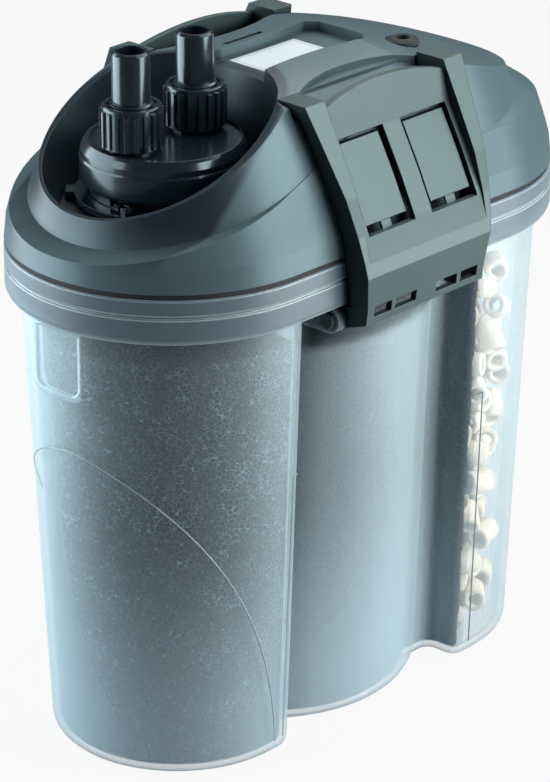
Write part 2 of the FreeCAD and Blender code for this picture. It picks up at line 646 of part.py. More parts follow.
def hinge_lugs():
    """Ears under the rim, one outside each latch arm, that hold the hinge pins."""
    inner = val("latch_half + lug_gap")
    outer = inner + val("lug_thickness")
    reach, height = val("pin_reach"), val(PIN_Z)
    round_end = val("pin_radius + lug_meat")
    lugs = []
    for side in (-1, 1):
        for end in (-1, 1):
            ear = slab(inner, outer, val("notch_base"), reach, height - round_end, val(FLANGE_BOTTOM) + 1)
            nose = Part.makeCylinder(round_end, outer - inner, Vector(inner, reach, height), Vector(1, 0, 0))
            hole = Part.makeCylinder(val("pin_radius"), outer - inner, Vector(inner, reach, height),
                                     Vector(1, 0, 0))
            lug = ear.fuse(nose).cut(hole)
            if end < 0:
                lug = lug.mirror(Vector(0, 0, 0), Vector(1, 0, 0))
            if side < 0:
                lug = lug.mirror(Vector(0, 0, 0), Vector(0, 1, 0))
            lugs.append(lug)
    return lugs


def make_canister_shell():
    lobe, wall = val("lobe_offset"), val("shell_wall")
    tub = lobed_solid(0.0, val(FLANGE_BOTTOM) + 1, 0.0, val("floor_round"))
    rim = racetrack_turned(rim_section(), -lobe, lobe)
    body = tub.fuse([rim, grip_tab()] + hinge_lugs())
    cavity = lobed_solid(wall, val(FLANGE_TOP) + 2, -wall, val("floor_round") - wall)
    feature("canister_shell", body.cut(cavity).removeSplitter())


def make_rim_gasket():
    outer = val("rim_radius - seal_setback")
    inner = outer - val("seal_width")
    feature("rim_gasket", racetrack_ring(inner, outer, val("shell_height"), val(SEAM)))


def make_latch_pins():
    """Two pins for each latch, pressed into the lugs from outside."""
    inner = val("latch_half - arm_inset")
    outer = val("latch_half + lug_gap + lug_thickness")
    for name, side in (("latch_pins_near", -1), ("latch_pins_far", 1)):
        pins = []
        for end in (-1, 1):
            start = Vector(end * inner, side * val("pin_reach"), val(PIN_Z))
            away = Vector(end, 0, 0)
            shank = Part.makeCylinder(val("pin_radius"), outer - inner, start, away)
            cap = Part.makeCylinder(val("pin_radius + pin_head_rim"), val("pin_head"),
                                    Vector(end * outer, start.y, start.z), away)
            pins.append(shank.fuse(cap).removeSplitter())
        feature(name, Part.makeCompound(pins))


# ---------------------------------------------------------------- latches


def side_points(profile, inward=0.0):
    """A side view, given from the face of the rim band, as (reach from the centre plane, rise)."""
    face = val("rim_radius") - inward
    return [(face + outside, rise) for outside, rise in profile]


def side_solid(points, x_low, x_high):
    """A (reach, height above the rim top) polygon on the +Y side, given a length along X."""
    rim = val("shell_height")
    return polygon_face([Vector(x_low, reach, rim + rise) for reach, rise in points]).extrude(
        Vector(x_high - x_low, 0, 0))


def latch_back():
    """Back edge of an arm from the hinge up to the hook, clear of the rim and the head."""
    pin, eye = val("pin_reach"), val("pin_radius + eye_meat")
    rim_face = val("rim_radius + latch_gap")
    below = val("rim_height + shell_wall + latch_gap")
    hook_low, hook_top = val("hook_top - hook_height"), val("hook_top")
    front = side_points(ARM_FRONT)[0][0]
    hook_tip = front - val("hook_length")
    return [
        (pin, -val("pin_drop") - eye), (pin, -below), (rim_face, -below), (rim_face, 3.0),
        *side_points(ARM_BACK), (front - 2.2, hook_low - 2.5), (front - 3.6, hook_low),
        (hook_tip, hook_low), (hook_tip, hook_top),
    ]


def arm_solid():
    """One latch arm at +X: a deep rib that narrows downwards, with its hook and hinge eye."""
    half, inset, top_half = val("latch_half"), val("arm_inset"), val("arm_top_half")
    rim, pin_z, reach = val("shell_height"), val(PIN_Z), val("pin_reach")
    along = Vector(1, 0, 0)
    arm = side_solid(side_points(ARM_FRONT) + latch_back(), half - inset, top_half)
    eye = Part.makeCylinder(val("pin_radius + eye_meat"), top_half - half + inset,
                            Vector(half - inset, reach, pin_z), along)
    arm = arm.fuse(eye)
    # The outer face stands upright round the eye, then leans out to the full width at the hook.
    low, top = pin_z + 8, val(HOOK_TOP) + 5
    slope = (top_half - half) / (val(HOOK_TOP) - low)
    outside = polygon_face([
        Vector(half, 0, pin_z - 30), Vector(half, 0, low), Vector(half + slope * (top - low), 0, top),
        Vector(top_half + 30, 0, top), Vector(top_half + 30, 0, pin_z - 30),
    ]).extrude(Vector(0, BEYOND, 0))
    proud = side_points(PLATE_FRONT)[:5]
    high = val("hook_top") + 22.0
    in_front = side_solid([(proud[0][0], high)] + proud + [(BEYOND, proud[-1][1]), (BEYOND, high)], 0, half)
    bore = Part.makeCylinder(val("pin_radius + pin_clearance"), top_half,
                             Vector(half - inset - 1, reach, pin_z), along)
    behind = slab(0, half, 0, BEYOND, rim + val("hook_top") - 14.0, rim + high)
    return arm.cut([outside, in_front, behind, bore])


def latch_pad(end):
    """The pad in one window of a latch, and the web below that carries it."""
    gap, wall, setback = val("window_gap"), val("latch_wall"), val("pad_setback")
    rim = val("shell_height")
    low, top = rim + val("window_low"), rim + val("window_top")
    inner, outer = val("window_inner"), val("window_outer")
    deep = setback + val("pad_wall")
    across = sorted((end * (inner + gap), end * (outer - gap)))
    panel = side_solid(side_points(PLATE_FRONT, setback) + side_points(PLATE_FRONT, deep)[::-1], *across)
    panel = panel.common(slab(*across, 0, BEYOND, low + gap + 1.2, top - gap))
    middle, half_web = end * (inner + outer) / 2, val("pad_web") / 2
    web = side_solid(side_points(PLATE_FRONT, wall - 0.5) + side_points(PLATE_FRONT, deep - 0.2)[::-1],
                     middle - half_web, middle + half_web)
    web = web.common(slab(middle - half_web, middle + half_web, 0, BEYOND, low - 3, low + gap + 3))
    return [panel, web]


def plate_solid():
    """The curved plate between the arms, its arched top edge, its windows and the pads in them."""
    half, rim = val("latch_half"), val("shell_height")
    front, back = side_points(PLATE_FRONT), side_points(PLATE_FRONT, val("latch_wall"))
    skin = side_solid(front + back[::-1], -half, half)
    crest, sag = rim + val("hook_top + plate_crest"), val("plate_sag")
    bow = (half * half + sag * sag) / (2 * sag)
    skin = skin.common(Part.makeCylinder(bow, BEYOND, Vector(0, 0, crest - bow), Vector(0, 1, 0)))
    low, top = rim + val("window_low"), rim + val("window_top")
    inner, outer = val("window_inner"), val("window_outer")
    foot = val(PIN_Z) + val("strip_rise")
    inner_slot = (val("strip_inner"), val("strip_inner + strip_long"))
    outer_slot = (half - val("strip_outer + strip_short"), half - val("strip_outer"))
    openings, pads = [], []
    for end in (-1, 1):
        openings.append(slab(*sorted((end * inner, end * outer)), 0, BEYOND, low, top))
        for near, far in (inner_slot, outer_slot):
            openings.append(slab(*sorted((end * near, end * far)), val("pin_reach") - 6.5, BEYOND,
                                 foot, foot + val("strip_slot")))
        pads.extend(latch_pad(end))
    return skin.cut(openings).fuse(pads)


def make_latches():
    arm = arm_solid()
    other = arm.mirror(Vector(0, 0, 0), Vector(1, 0, 0))
    latch = plate_solid().fuse([arm, other]).removeSplitter()
    feature("latch_far", latch)
    feature("latch_near", latch, 180)


# ---------------------------------------------------------------- head shapes


def dome_section(inset):
    """Half section of the head: short skirt, then a long curved shoulder."""
    seam, radius, rim = val(SEAM), val("head_radius") - inset, val("shell_height")
    skirt, middle, end = [Vector(radius - inward, 0, rim + rise) for inward, rise in DOME]
    edges = [
        line(Vector(0, 0, seam), Vector(radius, 0, seam)),
        line(Vector(radius, 0, seam), skirt),
        arc(skirt, middle, end),
        line(end, Vector(0, 0, end.z)),
        line(Vector(0, 0, end.z), Vector(0, 0, seam)),
    ]
    return Part.Face(Part.Wire(edges))


def crown_solid(drop):
    """Everything below the curved top of the head."""
    crown, lobe = val(CROWN), val("lobe_offset")
    axis = crown - val("crown_radius")
    front, rear = -lobe - 100.0, lobe + RIDGE[-1][0]
    spots = [Vector(lobe + past, 0, crown - fall - drop) for past, fall in RIDGE]
    start = Vector(front, 0, crown - drop)
    curve = Part.BSplineCurve()
    curve.interpolate(spots)
    edges = [
        line(Vector(front, 0, axis), start),
        line(start, spots[0]),
        curve.toShape(),
        line(spots[-1], Vector(rear, 0, axis)),
        line(Vector(rear, 0, axis), Vector(front, 0, axis)),
    ]
    face = Part.Face(Part.Wire(edges))
    return face.revolve(Vector(0, 0, axis), Vector(1, 0, 0), 360)


def below_slope(start, rise, slope, drop, x_high):
    """Everything under a plane that climbs along X from a place in front of the front round end."""
    x_start, x_low = -val("lobe_offset") - start, -BEYOND
    foot = val("shell_height") + rise - drop
    low = foot + slope * (x_low - x_start)
    high = foot + slope * (x_high - x_start)
    bottom = min(low, val("shell_height")) - 20
    return polygon_face([
        Vector(x_low, -BEYOND, bottom), Vector(x_high, -BEYOND, bottom), Vector(x_high, -BEYOND, high),
        Vector(x_low, -BEYOND, low),
    ]).extrude(Vector(0, 2 * BEYOND, 0))


def head_mass(inset):
    """The head without its recesses. inset is how far inside the outer surface it lies."""
    lobe, rim, radius = val("lobe_offset"), val("shell_height"), val("head_radius")
    lower = racetrack_turned(dome_section(inset), -lobe, lobe)
    ledge = below_slope(val("ledge_start"), val("ledge_rise"), val("ledge_slope"), inset, val("ledge_end"))
    outer, knee, inner = [(radius - inward - inset, rim + rise - inset) for inward, rise in SHOULDER]
    far = outer[0] + inset
    shoulder_face = section_face([
        (0, val(SEAM)), (far, val(SEAM)), (far, outer[1]), knee, (inner[0] + inset, inner[1]), (0, inner[1]),
    ])
    behind_ledge = slab(val("ledge_end"), BEYOND, -BEYOND, BEYOND, rim - 20, rim + BEYOND)
    shoulder = racetrack_turned(shoulder_face, -lobe, lobe).common(behind_ledge)
    lower = lower.common(ledge.fuse(shoulder))
    upper = racetrack_turned(dome_section(inset + val("tier_inset")), -lobe + val("front_step"),
                             lobe - val("rear_step"))
    slope = below_slope(val("top_start"), val("top_rise"), val("top_slope"), inset, BEYOND)
    upper = upper.common(slope).common(crown_solid(inset))
    return lower.fuse(upper).removeSplitter()


def oval_wire(centre, reach, half, height):
    curve = Part.Ellipse(Vector(centre, 0, height), max(reach, half), min(reach, half))
    wire = Part.Wire(curve.toShape())
    if half > reach:
        wire.rotate(Vector(centre, 0, height), Vector(0, 0, 1), 90)
    return wire


def bowl_solid(grow):
    """The oval bowl that holds the hose adapter, open upwards."""
    middle = val("adapter_x - bowl_shift")
    reach, half = val("bowl_reach") + grow, val("bowl_half") + grow
    low = oval_wire(middle, reach, half, val(BOWL_FLOOR) - grow)
    high = oval_wire(middle - val("bowl_lean"), reach + val("mouth_end"), half + val("mouth_side"),
                     val("shell_height + bowl_mouth"))
    return Part.makeLoft([low, high], True, True)


def finger_solid(grow, side):
    """The finger pocket behind the top of a latch: an arched step and a sloping floor."""
    half, back = val("finger_half") + grow, val("finger_reach") - grow
    low, high = back + val("finger_bow"), val("rim_radius") + POCKET_FLOOR[-1][0]
    rim = val("shell_height")
    edges = [
        arc(Vector(-half, low, rim), Vector(0, back, rim), Vector(half, low, rim)),
        line(Vector(half, low, rim), Vector(half, high, rim)),
        line(Vector(half, high, rim), Vector(-half, high, rim)),
        line(Vector(-half, high, rim), Vector(-half, low, rim)),
    ]
    column = Part.Face(Part.Wire(edges)).extrude(Vector(0, 0, BEYOND))
    step, lip, knee, mouth = side_points(POCKET_FLOOR)
    deep = back / 2
    above = side_solid([
        (deep, step[1] - grow), (step[0] - grow, step[1] - grow), (lip[0] - grow, lip[1] - grow),
        (knee[0], knee[1] - grow * 1.2), (mouth[0], mouth[1] - grow), (mouth[0], 120), (deep, 120),
    ], -half - 1, half + 1)
    pocket_shape = column.common(above)
    if side < 0:
        pocket_shape.rotate(Vector(0, 0, 0), Vector(0, 0, 1), 180)
    return pocket_shape


def hook_notch(grow, side, end):
    """The notch in the head that a latch hook drops into."""
    gap = val("latch_gap")
    inner, outer = val("latch_half") - gap - grow, val("arm_top_half") + gap + grow
    back = side_points(ARM_FRONT)[0][0] - val("hook_length") - gap - grow
    low = val(HOOK_TOP) - val("hook_height") - gap - grow
    spans = sorted((end * inner, end * outer))
    reaches = sorted((side * back, side * (val("rim_radius") + 16.5)))
    return slab(spans[0], spans[1], reaches[0], reaches[1], low, low + 60)


def deck_solid(grow):
    """The sunk deck between bowl and pump dome, its long sides following the finger pockets."""
    end, half = val("deck_end") + grow, val("deck_half") + grow
    chamfer, start = val("deck_corner"), -val("lobe_offset")
    wide, waist = half + val("deck_flare"), half - val("deck_waist")
    floor = val(DECK) - grow

    def long_side(sign):
        return arc(Vector(start, sign * wide, floor), Vector(-8, sign * waist, floor),
                   Vector(end - chamfer, sign * half, floor))

    edges = [
        long_side(1),
        line(Vector(end - chamfer, half, floor), Vector(end, half - chamfer, floor)),
        line(Vector(end, half - chamfer, floor), Vector(end, chamfer - half, floor)),
        line(Vector(end, chamfer - half, floor), Vector(end - chamfer, -half, floor)),
        long_side(-1),
        line(Vector(start, -wide, floor), Vector(start, wide, floor)),
    ]
    return Part.Face(Part.Wire(Part.__sortEdges__(edges))).extrude(Vector(0, 0, 60))


def recesses(grow):
    """Every recess in the top of the head. grow widens them by the wall for the hollow inside."""
    cuts = [bowl_solid(grow), deck_solid(grow)]
    for side in (-1, 1):
        cuts.append(finger_solid(grow, side))
        for end in (-1, 1):
            cuts.append(hook_notch(grow, side, end))
    return cuts


def screw_spots():
    """The six cover screws, three along each long side."""
    lobe, radius = val("lobe_offset"), val("head_radius")
    spots = [
        (-lobe - val("screw_front"), radius - val("screw_front_in")),
        (0.0, radius - val("screw_middle_in")),
        (lobe + val("screw_rear"), radius - val("screw_rear_in")),
    ]
    return [(x, sign * y) for x, y in spots for sign in (-1, 1)]


def screw_bosses():
    """Bosses for the cover screws, each with a rib out to the wall, and their holes."""
    lobe, base = val("lobe_offset"), val(PLATE_TOP)
    height = val("screw_length - plate_thickness")
    thick = val("boss_rib")
    bosses, holes = [], []
    for x, y in screw_spots():
        spot = Vector(x, y, 0)
        centre = Vector(max(-lobe, min(lobe, x)), 0, 0)
        outward = (spot - centre).normalize()
        in_wall = centre + outward * (val("head_radius - cover_wall") + 1.0)
        rib = Part.makeBox(thick, (in_wall - spot).Length, height - 1.0, Vector(-thick / 2, 0, base + 1.0))
        rib.rotate(Vector(0, 0, 0), Vector(0, 0, 1), math.degrees(math.atan2(outward.y, outward.x)) - 90)
        rib.translate(spot)
        bosses.append(Part.makeCylinder(val("screw_radius + boss_wall"), height, spot + Vector(0, 0, base)))
        bosses.append(rib)
        holes.append(Part.makeCylinder(val("screw_radius") + 0.1, height - 2.0, spot + Vector(0, 0, base)))
    return bosses, holes


def crown_openings():
    """Seat of the cord gland with two short grooves beside it, and the slot beside the deck."""
    crown = val(CROWN)
    gland = Vector(val("gland_x"), val("gland_y"), 0)
    cuts = [
        Part.makeCylinder(val("gland_radius") + 0.1, 40, gland + Vector(0, 0, crown - 20)),
        Part.makeCylinder(val("gland_radius + gland_flange") + 0.4, 20,
                          gland + Vector(0, 0, crown - val("gland_seat"))),
    ]
    for start, end in ((4.0, 9.0), (12.0, 19.0)):
        groove = slab(start, end, -3.4, 3.4, crown - 5.0, crown + 5)
        groove.rotate(Vector(0, 0, 0), Vector(0, 0, 1), -52)
        groove.translate(gland)
        cuts.append(groove)
    near = val("deck_half + crown_slot_gap")
    cuts.append(slab(-17.0, val("crown_slot_length") - 17.0, near, near + val("crown_slot_width"),
                     crown - val("crown_slot_depth"), crown + 5))
    return cuts


def make_head_cover():
    wall, lobe = val("cover_wall"), val("lobe_offset")
    outer = head_mass(0.0).cut(recesses(0.0))
    hollow = head_mass(wall).cut(recesses(wall))
    mouth = racetrack_face(val("head_radius") - wall, val(SEAM) - 1, -lobe, lobe).extrude(Vector(0, 0, 6))
    cover = outer.cut(hollow.fuse(mouth))
    ports = []
    for text in (INLET_X, OUTLET_X):
        ports.append(Part.makeCylinder(val("port_radius + spigot_wall") + 0.8, 20,
                                       Vector(val(text), 0, val(BOWL_FLOOR) - 10)))
    bosses, holes = screw_bosses()
    cover = cover.cut(ports + crown_openings()).fuse(bosses).cut(holes)
    feature("head_cover", cover.removeSplitter())


def make_head_plate():
    lobe = val("lobe_offset")
    radius = val("head_radius - cover_wall - plate_gap")
    plate = racetrack_face(radius, val(SEAM), -lobe, lobe).extrude(Vector(0, 0, val("plate_thickness")))
    plug_outer = val("rim_radius - rim_wall - plug_gap")
    plug_low = val(SEAM) - val("plug_depth")
    plug = racetrack_ring(plug_outer - val("plug_wall"), plug_outer, plug_low, val(SEAM))
    rest = slab(val("pump_x - core_back") + 2, val("pump_x - core_back") + 10, -15, 15,
                val(PLATE_TOP) - 1, val(CORE_BASE))
    holes = []
    for text in (INLET_X, OUTLET_X):
        holes.append(Part.makeCylinder(val(SLEEVE_OUTER) + 0.2, 20, Vector(val(text), 0, val(SEAM) - 5)))
    rotor = val("can_radius - can_wall")
    holes.append(Part.makeCylinder(rotor, 20, Vector(val("pump_x"), 0, val(SEAM) - 5)))
    for x, y in screw_spots():
        holes.append(Part.makeCylinder(val("screw_radius") + 0.3, 20, Vector(x, y, val(SEAM) - 5)))
    feature("head_plate", plate.fuse([plug, rest]).cut(holes).removeSplitter())


def make_cover_screws():
    screws = []
    cap = 2.2
    for x, y in screw_spots():
        start = val(SEAM) - cap
        head = Part.makeCylinder(val("screw_head"), cap, Vector(x, y, start))
        shank = Part.makeCylinder(val("screw_radius"), val("screw_length") - 2.6, Vector(x, y, start + cap))
        slot = slab(x - 4, x + 4, y - 0.5, y + 0.5, start - 1, start + 1.0)
        screws.append(head.fuse(shank).cut(slot).removeSplitter())
    feature("cover_screws", Part.makeCompound(screws))


# ---------------------------------------------------------------- ports and hose adapter


def make_port_sleeves():
    """Tubes in the head that the adapter's spigots plug into."""
    under_bowl = f"{BOWL_FLOOR} - cover_wall"
    flange = f"{SLEEVE_OUTER} + sleeve_flange"
    for name, x, low in (("inlet_sleeve", INLET_X, f"{SEAM} - 14"), ("outlet_sleeve", OUTLET_X, SEAM)):
        turned_body(name, [
            (SLEEVE_BORE, low), (SLEEVE_OUTER, low), (SLEEVE_OUTER, PLATE_TOP), (flange, PLATE_TOP),
            (flange, f"{PLATE_TOP} + 2"), (SLEEVE_OUTER, f"{PLATE_TOP} + 2"), (SLEEVE_OUTER, under_bowl),
            (SLEEVE_BORE, under_bowl),
        ], x)


def two_circles(body, name, radius, lift):
    """A sketch with one circle at each hose port."""
    sketch = new_sketch(body, name + "_sketch", "XY_Plane", lift)
    for side in ("-port_spacing / 2", "port_spacing / 2"):
        add_circle(sketch, radius, side)
    return sketch


def port_pad(body, name, radius, low, length):
    return pad(body, name, two_circles(body, name, radius, low), length)


def make_adapter_body():
    """Drum of the hose adapter: foot, neck, bulge, post for the disc, and two spigots below."""
    base = ADAPTER_BASE
    body = turned_body("adapter_body", [
        ("0", base), ("drum_neck + foot_width", base), ("drum_neck + foot_width", f"{base} + foot_height"),
        ("drum_neck", f"{base} + foot_height"), ("drum_neck", f"{base} + 7.6"),
        ("drum_radius - 1", f"{base} + 9"), ("drum_radius", f"{base} + 10.6"),
        ("drum_radius", f"{DRUM_TOP} - 1"), ("drum_radius - 0.5", DRUM_TOP),
        ("drum_radius - adapter_wall", DRUM_TOP), ("drum_radius - adapter_wall", f"{base} + 11.4"),
        ("drum_neck - adapter_wall", f"{base} + 8.4"), ("drum_neck - adapter_wall", f"{base} + adapter_wall"),
        ("post_radius", f"{base} + adapter_wall"), ("post_radius", f"{DISC_Z} + disc_height + 0.4"),
        ("0", f"{DISC_Z} + disc_height + 0.4"),
    ], "adapter_x")
    spigot = "port_radius + spigot_wall"
    groove = f"{spigot} - 1.3"
    low = f"{base} - spigot_length"
    port_pad(body, "spigot_tip", spigot, low, "2.4")
    port_pad(body, "spigot_groove", groove, f"{low} + 2.3", "2.4")
    port_pad(body, "spigot_root", spigot, f"{low} + 4.6", "spigot_length - 4.5")
    port_pad(body, "inner_collars", spigot, f"{base} + adapter_wall - 0.1", "1.5")
    pocket(body, "ports", two_circles(body, "ports", "port_radius", f"{base} + 6"), "spigot_length + 8")
    sketch = new_sketch(body, "slot_plan", "XY_Plane", f"{SLOT_Z} + slot_height")
    inside, outside = "(drum_neck - 5)", "(drum_neck + 14)"
    add_outline(sketch, [
        (f"-{inside}", "0"), (f"-{outside}", "0"), (f"-{outside}", f"-0.8 * {outside}"),
        (f"-0.18 * {outside}", f"-1.04 * {outside}"), (f"-0.18 * {inside}", f"-1.0 * {inside}"),
        (f"-0.7 * {inside}", f"-0.7 * {inside}"),
    ])
    cut = pocket(body, "neck_slot", sketch, "slot_height")
    body.Tip = cut


def make_adapter_top():
    """Lid of the drum, with a raised crescent, two threaded spigots and two tubes to the disc."""
    body = turned_body("adapter_top", [
        ("0", DRUM_TOP), ("drum_radius - 0.5", DRUM_TOP), ("drum_radius - 0.5", f"{DRUM_TOP} + 2.5"),
        ("drum_radius - 2", f"{DRUM_LID_TOP} - 1.2"), ("drum_radius - 3", DRUM_LID_TOP), ("0", DRUM_LID_TOP),
    ], "adapter_x")
    sketch = new_sketch(body, "recess_plan", "XY_Plane", DRUM_LID_TOP)
    add_circle(sketch, "drum_radius - 4", "1.2")
    pocket(body, "lid_recess", sketch, "lip_depth")
    tip = f"{TAIL_BASE} - washer_height"
    thread = "nut_bore - thread_clearance"
    port_pad(body, "threaded_spigots", f"{thread} - thread_depth", f"{LID_FLOOR} - 0.5",
             f"{tip} - {LID_FLOOR} + 0.5")
    for turn in range(4):
        port_pad(body, f"thread_{turn + 1}", thread, f"{tip} - 2.2 - 2.6 * {turn}", "1.2")
    port_pad(body, "down_tubes", "port_radius + spigot_wall", f"{DISC_Z} + disc_height + disc_gap",
             f"{DRUM_TOP} - {DISC_Z} - disc_height - disc_gap + 0.5")
    bores = two_circles(body, "bores", "port_radius - 1", f"{tip} + 1")
    cut = pocket(body, "lid_bores", bores, "60")
    body.Tip = cut


def make_release_collar():
    """Ring round the neck with a lever tab outside and a driver that takes the disc along."""
    inner = "drum_neck + collar_gap"
    outer = "drum_neck + collar_gap + collar_width"
    body = turned_body("release_collar", ring_corners(inner, outer, COLLAR_Z, f"{COLLAR_Z} + collar_height"),
                       "adapter_x")
    tab = new_sketch(body, "lever_plan", "XY_Plane", COLLAR_Z)
    near = "(drum_neck + collar_gap + collar_width - 1.5)"
    far = "(drum_neck + collar_gap + collar_width + lever_length)"
    half = "(lever_width / 2)"
    add_outline(tab, [
        (f"-0.687 * {near} + 0.727 * {half}", f"0.727 * {near} + 0.687 * {half}"),
        (f"-0.687 * {far} + 0.727 * {half}", f"0.727 * {far} + 0.687 * {half}"),
        (f"-0.687 * {far} - 0.727 * {half}", f"0.727 * {far} - 0.687 * {half}"),
        (f"-0.687 * {near} - 0.727 * {half}", f"0.727 * {near} - 0.687 * {half}"),
    ])
    pad(body, "lever_tab", tab, "collar_height")
    driver = new_sketch(body, "driver_plan", "XY_Plane", f"{COLLAR_Z} + collar_height - 0.5")
    add_outline(driver, [
        ("-drum_neck - 2.0", "-8"), ("-drum_neck - 2.0", "-11"),
        ("-drum_neck - 0.3", "-11"), ("-drum_neck - 0.3", "-8"),
    ])
    block = pad(body, "driver", driver, "2.9")
    body.Tip = block


def make_shutoff_disc():
    """Disc that closes both ports when the collar turns; its finger comes out through the slot."""
    body = turned_body("shutoff_disc", ring_corners(
        "post_radius + running_clearance", "drum_neck - adapter_wall - 0.6", DISC_Z,
        f"{DISC_Z} + disc_height"),
        "adapter_x")
    finger = new_sketch(body, "finger_plan", "XY_Plane", DISC_Z)
    add_outline(finger, [
        ("-drum_neck + 4.5", "-5"), ("-drum_neck - 2.6", "-5"),
        ("-drum_neck - 2.6", "-7.6"), ("-drum_neck + 0.2", "-7.6"),
        ("-drum_neck + 0.2", "-11.4"), ("-drum_neck - 2.2", "-11.4"),
        ("-drum_neck - 1.4", "-14"), ("-drum_neck + 7.5", "-14"),
    ])
    pad(body, "finger", finger, "disc_height")
    ports = two_circles(body, "disc_ports", "port_radius", f"{DISC_Z} + disc_height")
    cut = pocket(body, "disc_ports", ports, "disc_height")
    body.Tip = cut


def make_spigot_seals():
    height = f"{ADAPTER_BASE} - spigot_length + 3.5"
    rings = []
    for index, x in enumerate((INLET_X, OUTLET_X), start=1):
        middle = "port_radius + spigot_wall - 0.45"
        rings.append(torus(f"port_oring_{index}", middle, "oring_cord", x, height))
    group("port_orings", rings)


def make_hose_tails():
    """Straight hose tails, each held by its flange under the union nut."""
    bore = "tail_radius - tail_wall"
    bead = f"{NUT_TOP} - 1"
    for name, x in (("hose_tail_inlet", INLET_X), ("hose_tail_outlet", OUTLET_X)):
        turned_body(name, [
            (bore, TAIL_BASE), ("nut_bore - 0.5", TAIL_BASE),
            ("nut_bore - 0.5", f"{TAIL_BASE} + flange_height"),
            ("tail_radius", f"{TAIL_BASE} + flange_height"), ("tail_radius", f"{bead} - bead_slope"),
            ("tail_radius + tail_bead", bead), ("tail_radius + tail_bead", f"{bead} + bead_height"),
            ("tail_radius", f"{bead} + bead_height + bead_slope"),
            ("tail_radius", f"{TAIL_TOP} - tail_chamfer"),
            ("tail_radius - tail_chamfer", TAIL_TOP), (bore, TAIL_TOP),
        ], x)


def make_tail_washers():
    bodies = []
    for index, x in enumerate((INLET_X, OUTLET_X), start=1):
        outer = doc.addObject("Part::Cylinder", f"washer_outer_{index}")
        inner = doc.addObject("Part::Cylinder", f"washer_inner_{index}")
        outer.setExpression("Radius", bind("nut_bore - 1.2"))
        outer.setExpression("Height", bind("washer_height"))
        inner.setExpression("Radius", bind("port_radius - 0.6"))
        inner.setExpression("Height", bind("washer_height + 2"))
        place(outer, x, "0", f"{TAIL_BASE} - washer_height")
        place(inner, x, "0", f"{TAIL_BASE} - washer_height - 1")
        ring = doc.addObject("Part::Cut", f"tail_washer_{index}")
        ring.Base = outer
        ring.Tool = inner
        bodies.append(ring)
    group("tail_washers", bodies)


def make_union_nuts():
    """Ribbed union nuts, with a lip at the top that clamps the hose tail's flange."""
    ledge = f"{TAIL_BASE} + flange_height + 0.3"
    hole, mouth = "tail_radius + tail_bead + 0.4", "tail_radius + nut_mouth"
    root = "nut_radius - 1.0"
    for name, x in (("union_nut_inlet", INLET_X), ("union_nut_outlet", OUTLET_X)):
        body = turned_body(name, [
            ("nut_bore", NUT_BASE), (f"{root} - 0.6", NUT_BASE), (root, f"{NUT_BASE} + 0.6"),
            (root, f"{NUT_TOP} - 0.5"), (f"{root} - 0.5", NUT_TOP), (mouth, NUT_TOP),
            (mouth, f"{ledge} + nut_lip"), (hole, f"{ledge} + nut_lip"), (hole, ledge), ("nut_bore", ledge),
        ], x)
        sketch = new_sketch(body, name + "_rib_plan", "XY_Plane", f"{NUT_BASE} + 1.2")
        add_outline(sketch, [
            (f"{root} - 0.4", "-1.2"), ("nut_radius", "-0.8"),
            ("nut_radius", "0.8"), (f"{root} - 0.4", "1.2"),
        ])
        rib = pad(body, name + "_rib", sketch, "nut_height - 3.2")
        polar(body, name + "_ribs", rib, "nut_ribs")


# ---------------------------------------------------------------- pump


def make_volute():
    inner = "volute_radius - volute_wall"
    body = turned_body("pump_volute", ring_corners(inner, "volute_radius", VOLUTE_BASE, SEAM), "pump_x")
    sketch = new_sketch(body, "outlet_plan", "XY_Plane", SEAM)
    mouth = box_corners("-volute_radius - 2", "-volute_radius + 10", "-outlet_half", "outlet_half")
    add_outline(sketch, mouth)
    cut = pocket(body, "volute_outlet", sketch, "duct_depth - duct_wall")
    body.Tip = cut
    seal_low = f"{VOLUTE_BASE} - volute_seal_height"
    turned_body("volute_seal", ring_corners(inner, "volute_radius - 0.3", seal_low, VOLUTE_BASE), "pump_x")
    lid_low = f"{seal_low} - volute_lid"
    boss = "bush_radius + 2"
    body = turned_body("volute_cover", [
        ("0", lid_low), ("volute_radius", lid_low), ("volute_radius", seal_low), (boss, seal_low),
        (boss, f"{VOLUTE_BASE} + 1"), ("bush_radius + 0.05", f"{VOLUTE_BASE} + 1"),
        ("bush_radius + 0.05", f"{lid_low} + 1.2"), ("0", f"{lid_low} + 1.2"),
    ], "pump_x")
    sketch = new_sketch(body, "suction_plan", "XY_Plane", seal_low)
    add_outline(sketch, [
        ("bush_radius + 2.1", "-3.5"), ("suction_radius + 1.5", "-5"), ("suction_radius + 2.5", "0"),
        ("suction_radius + 1.5", "5"), ("bush_radius + 2.1", "3.5"),
    ])
    window = pocket(body, "suction_window", sketch, "volute_lid")
    polar(body, "suction_windows", window, "5")


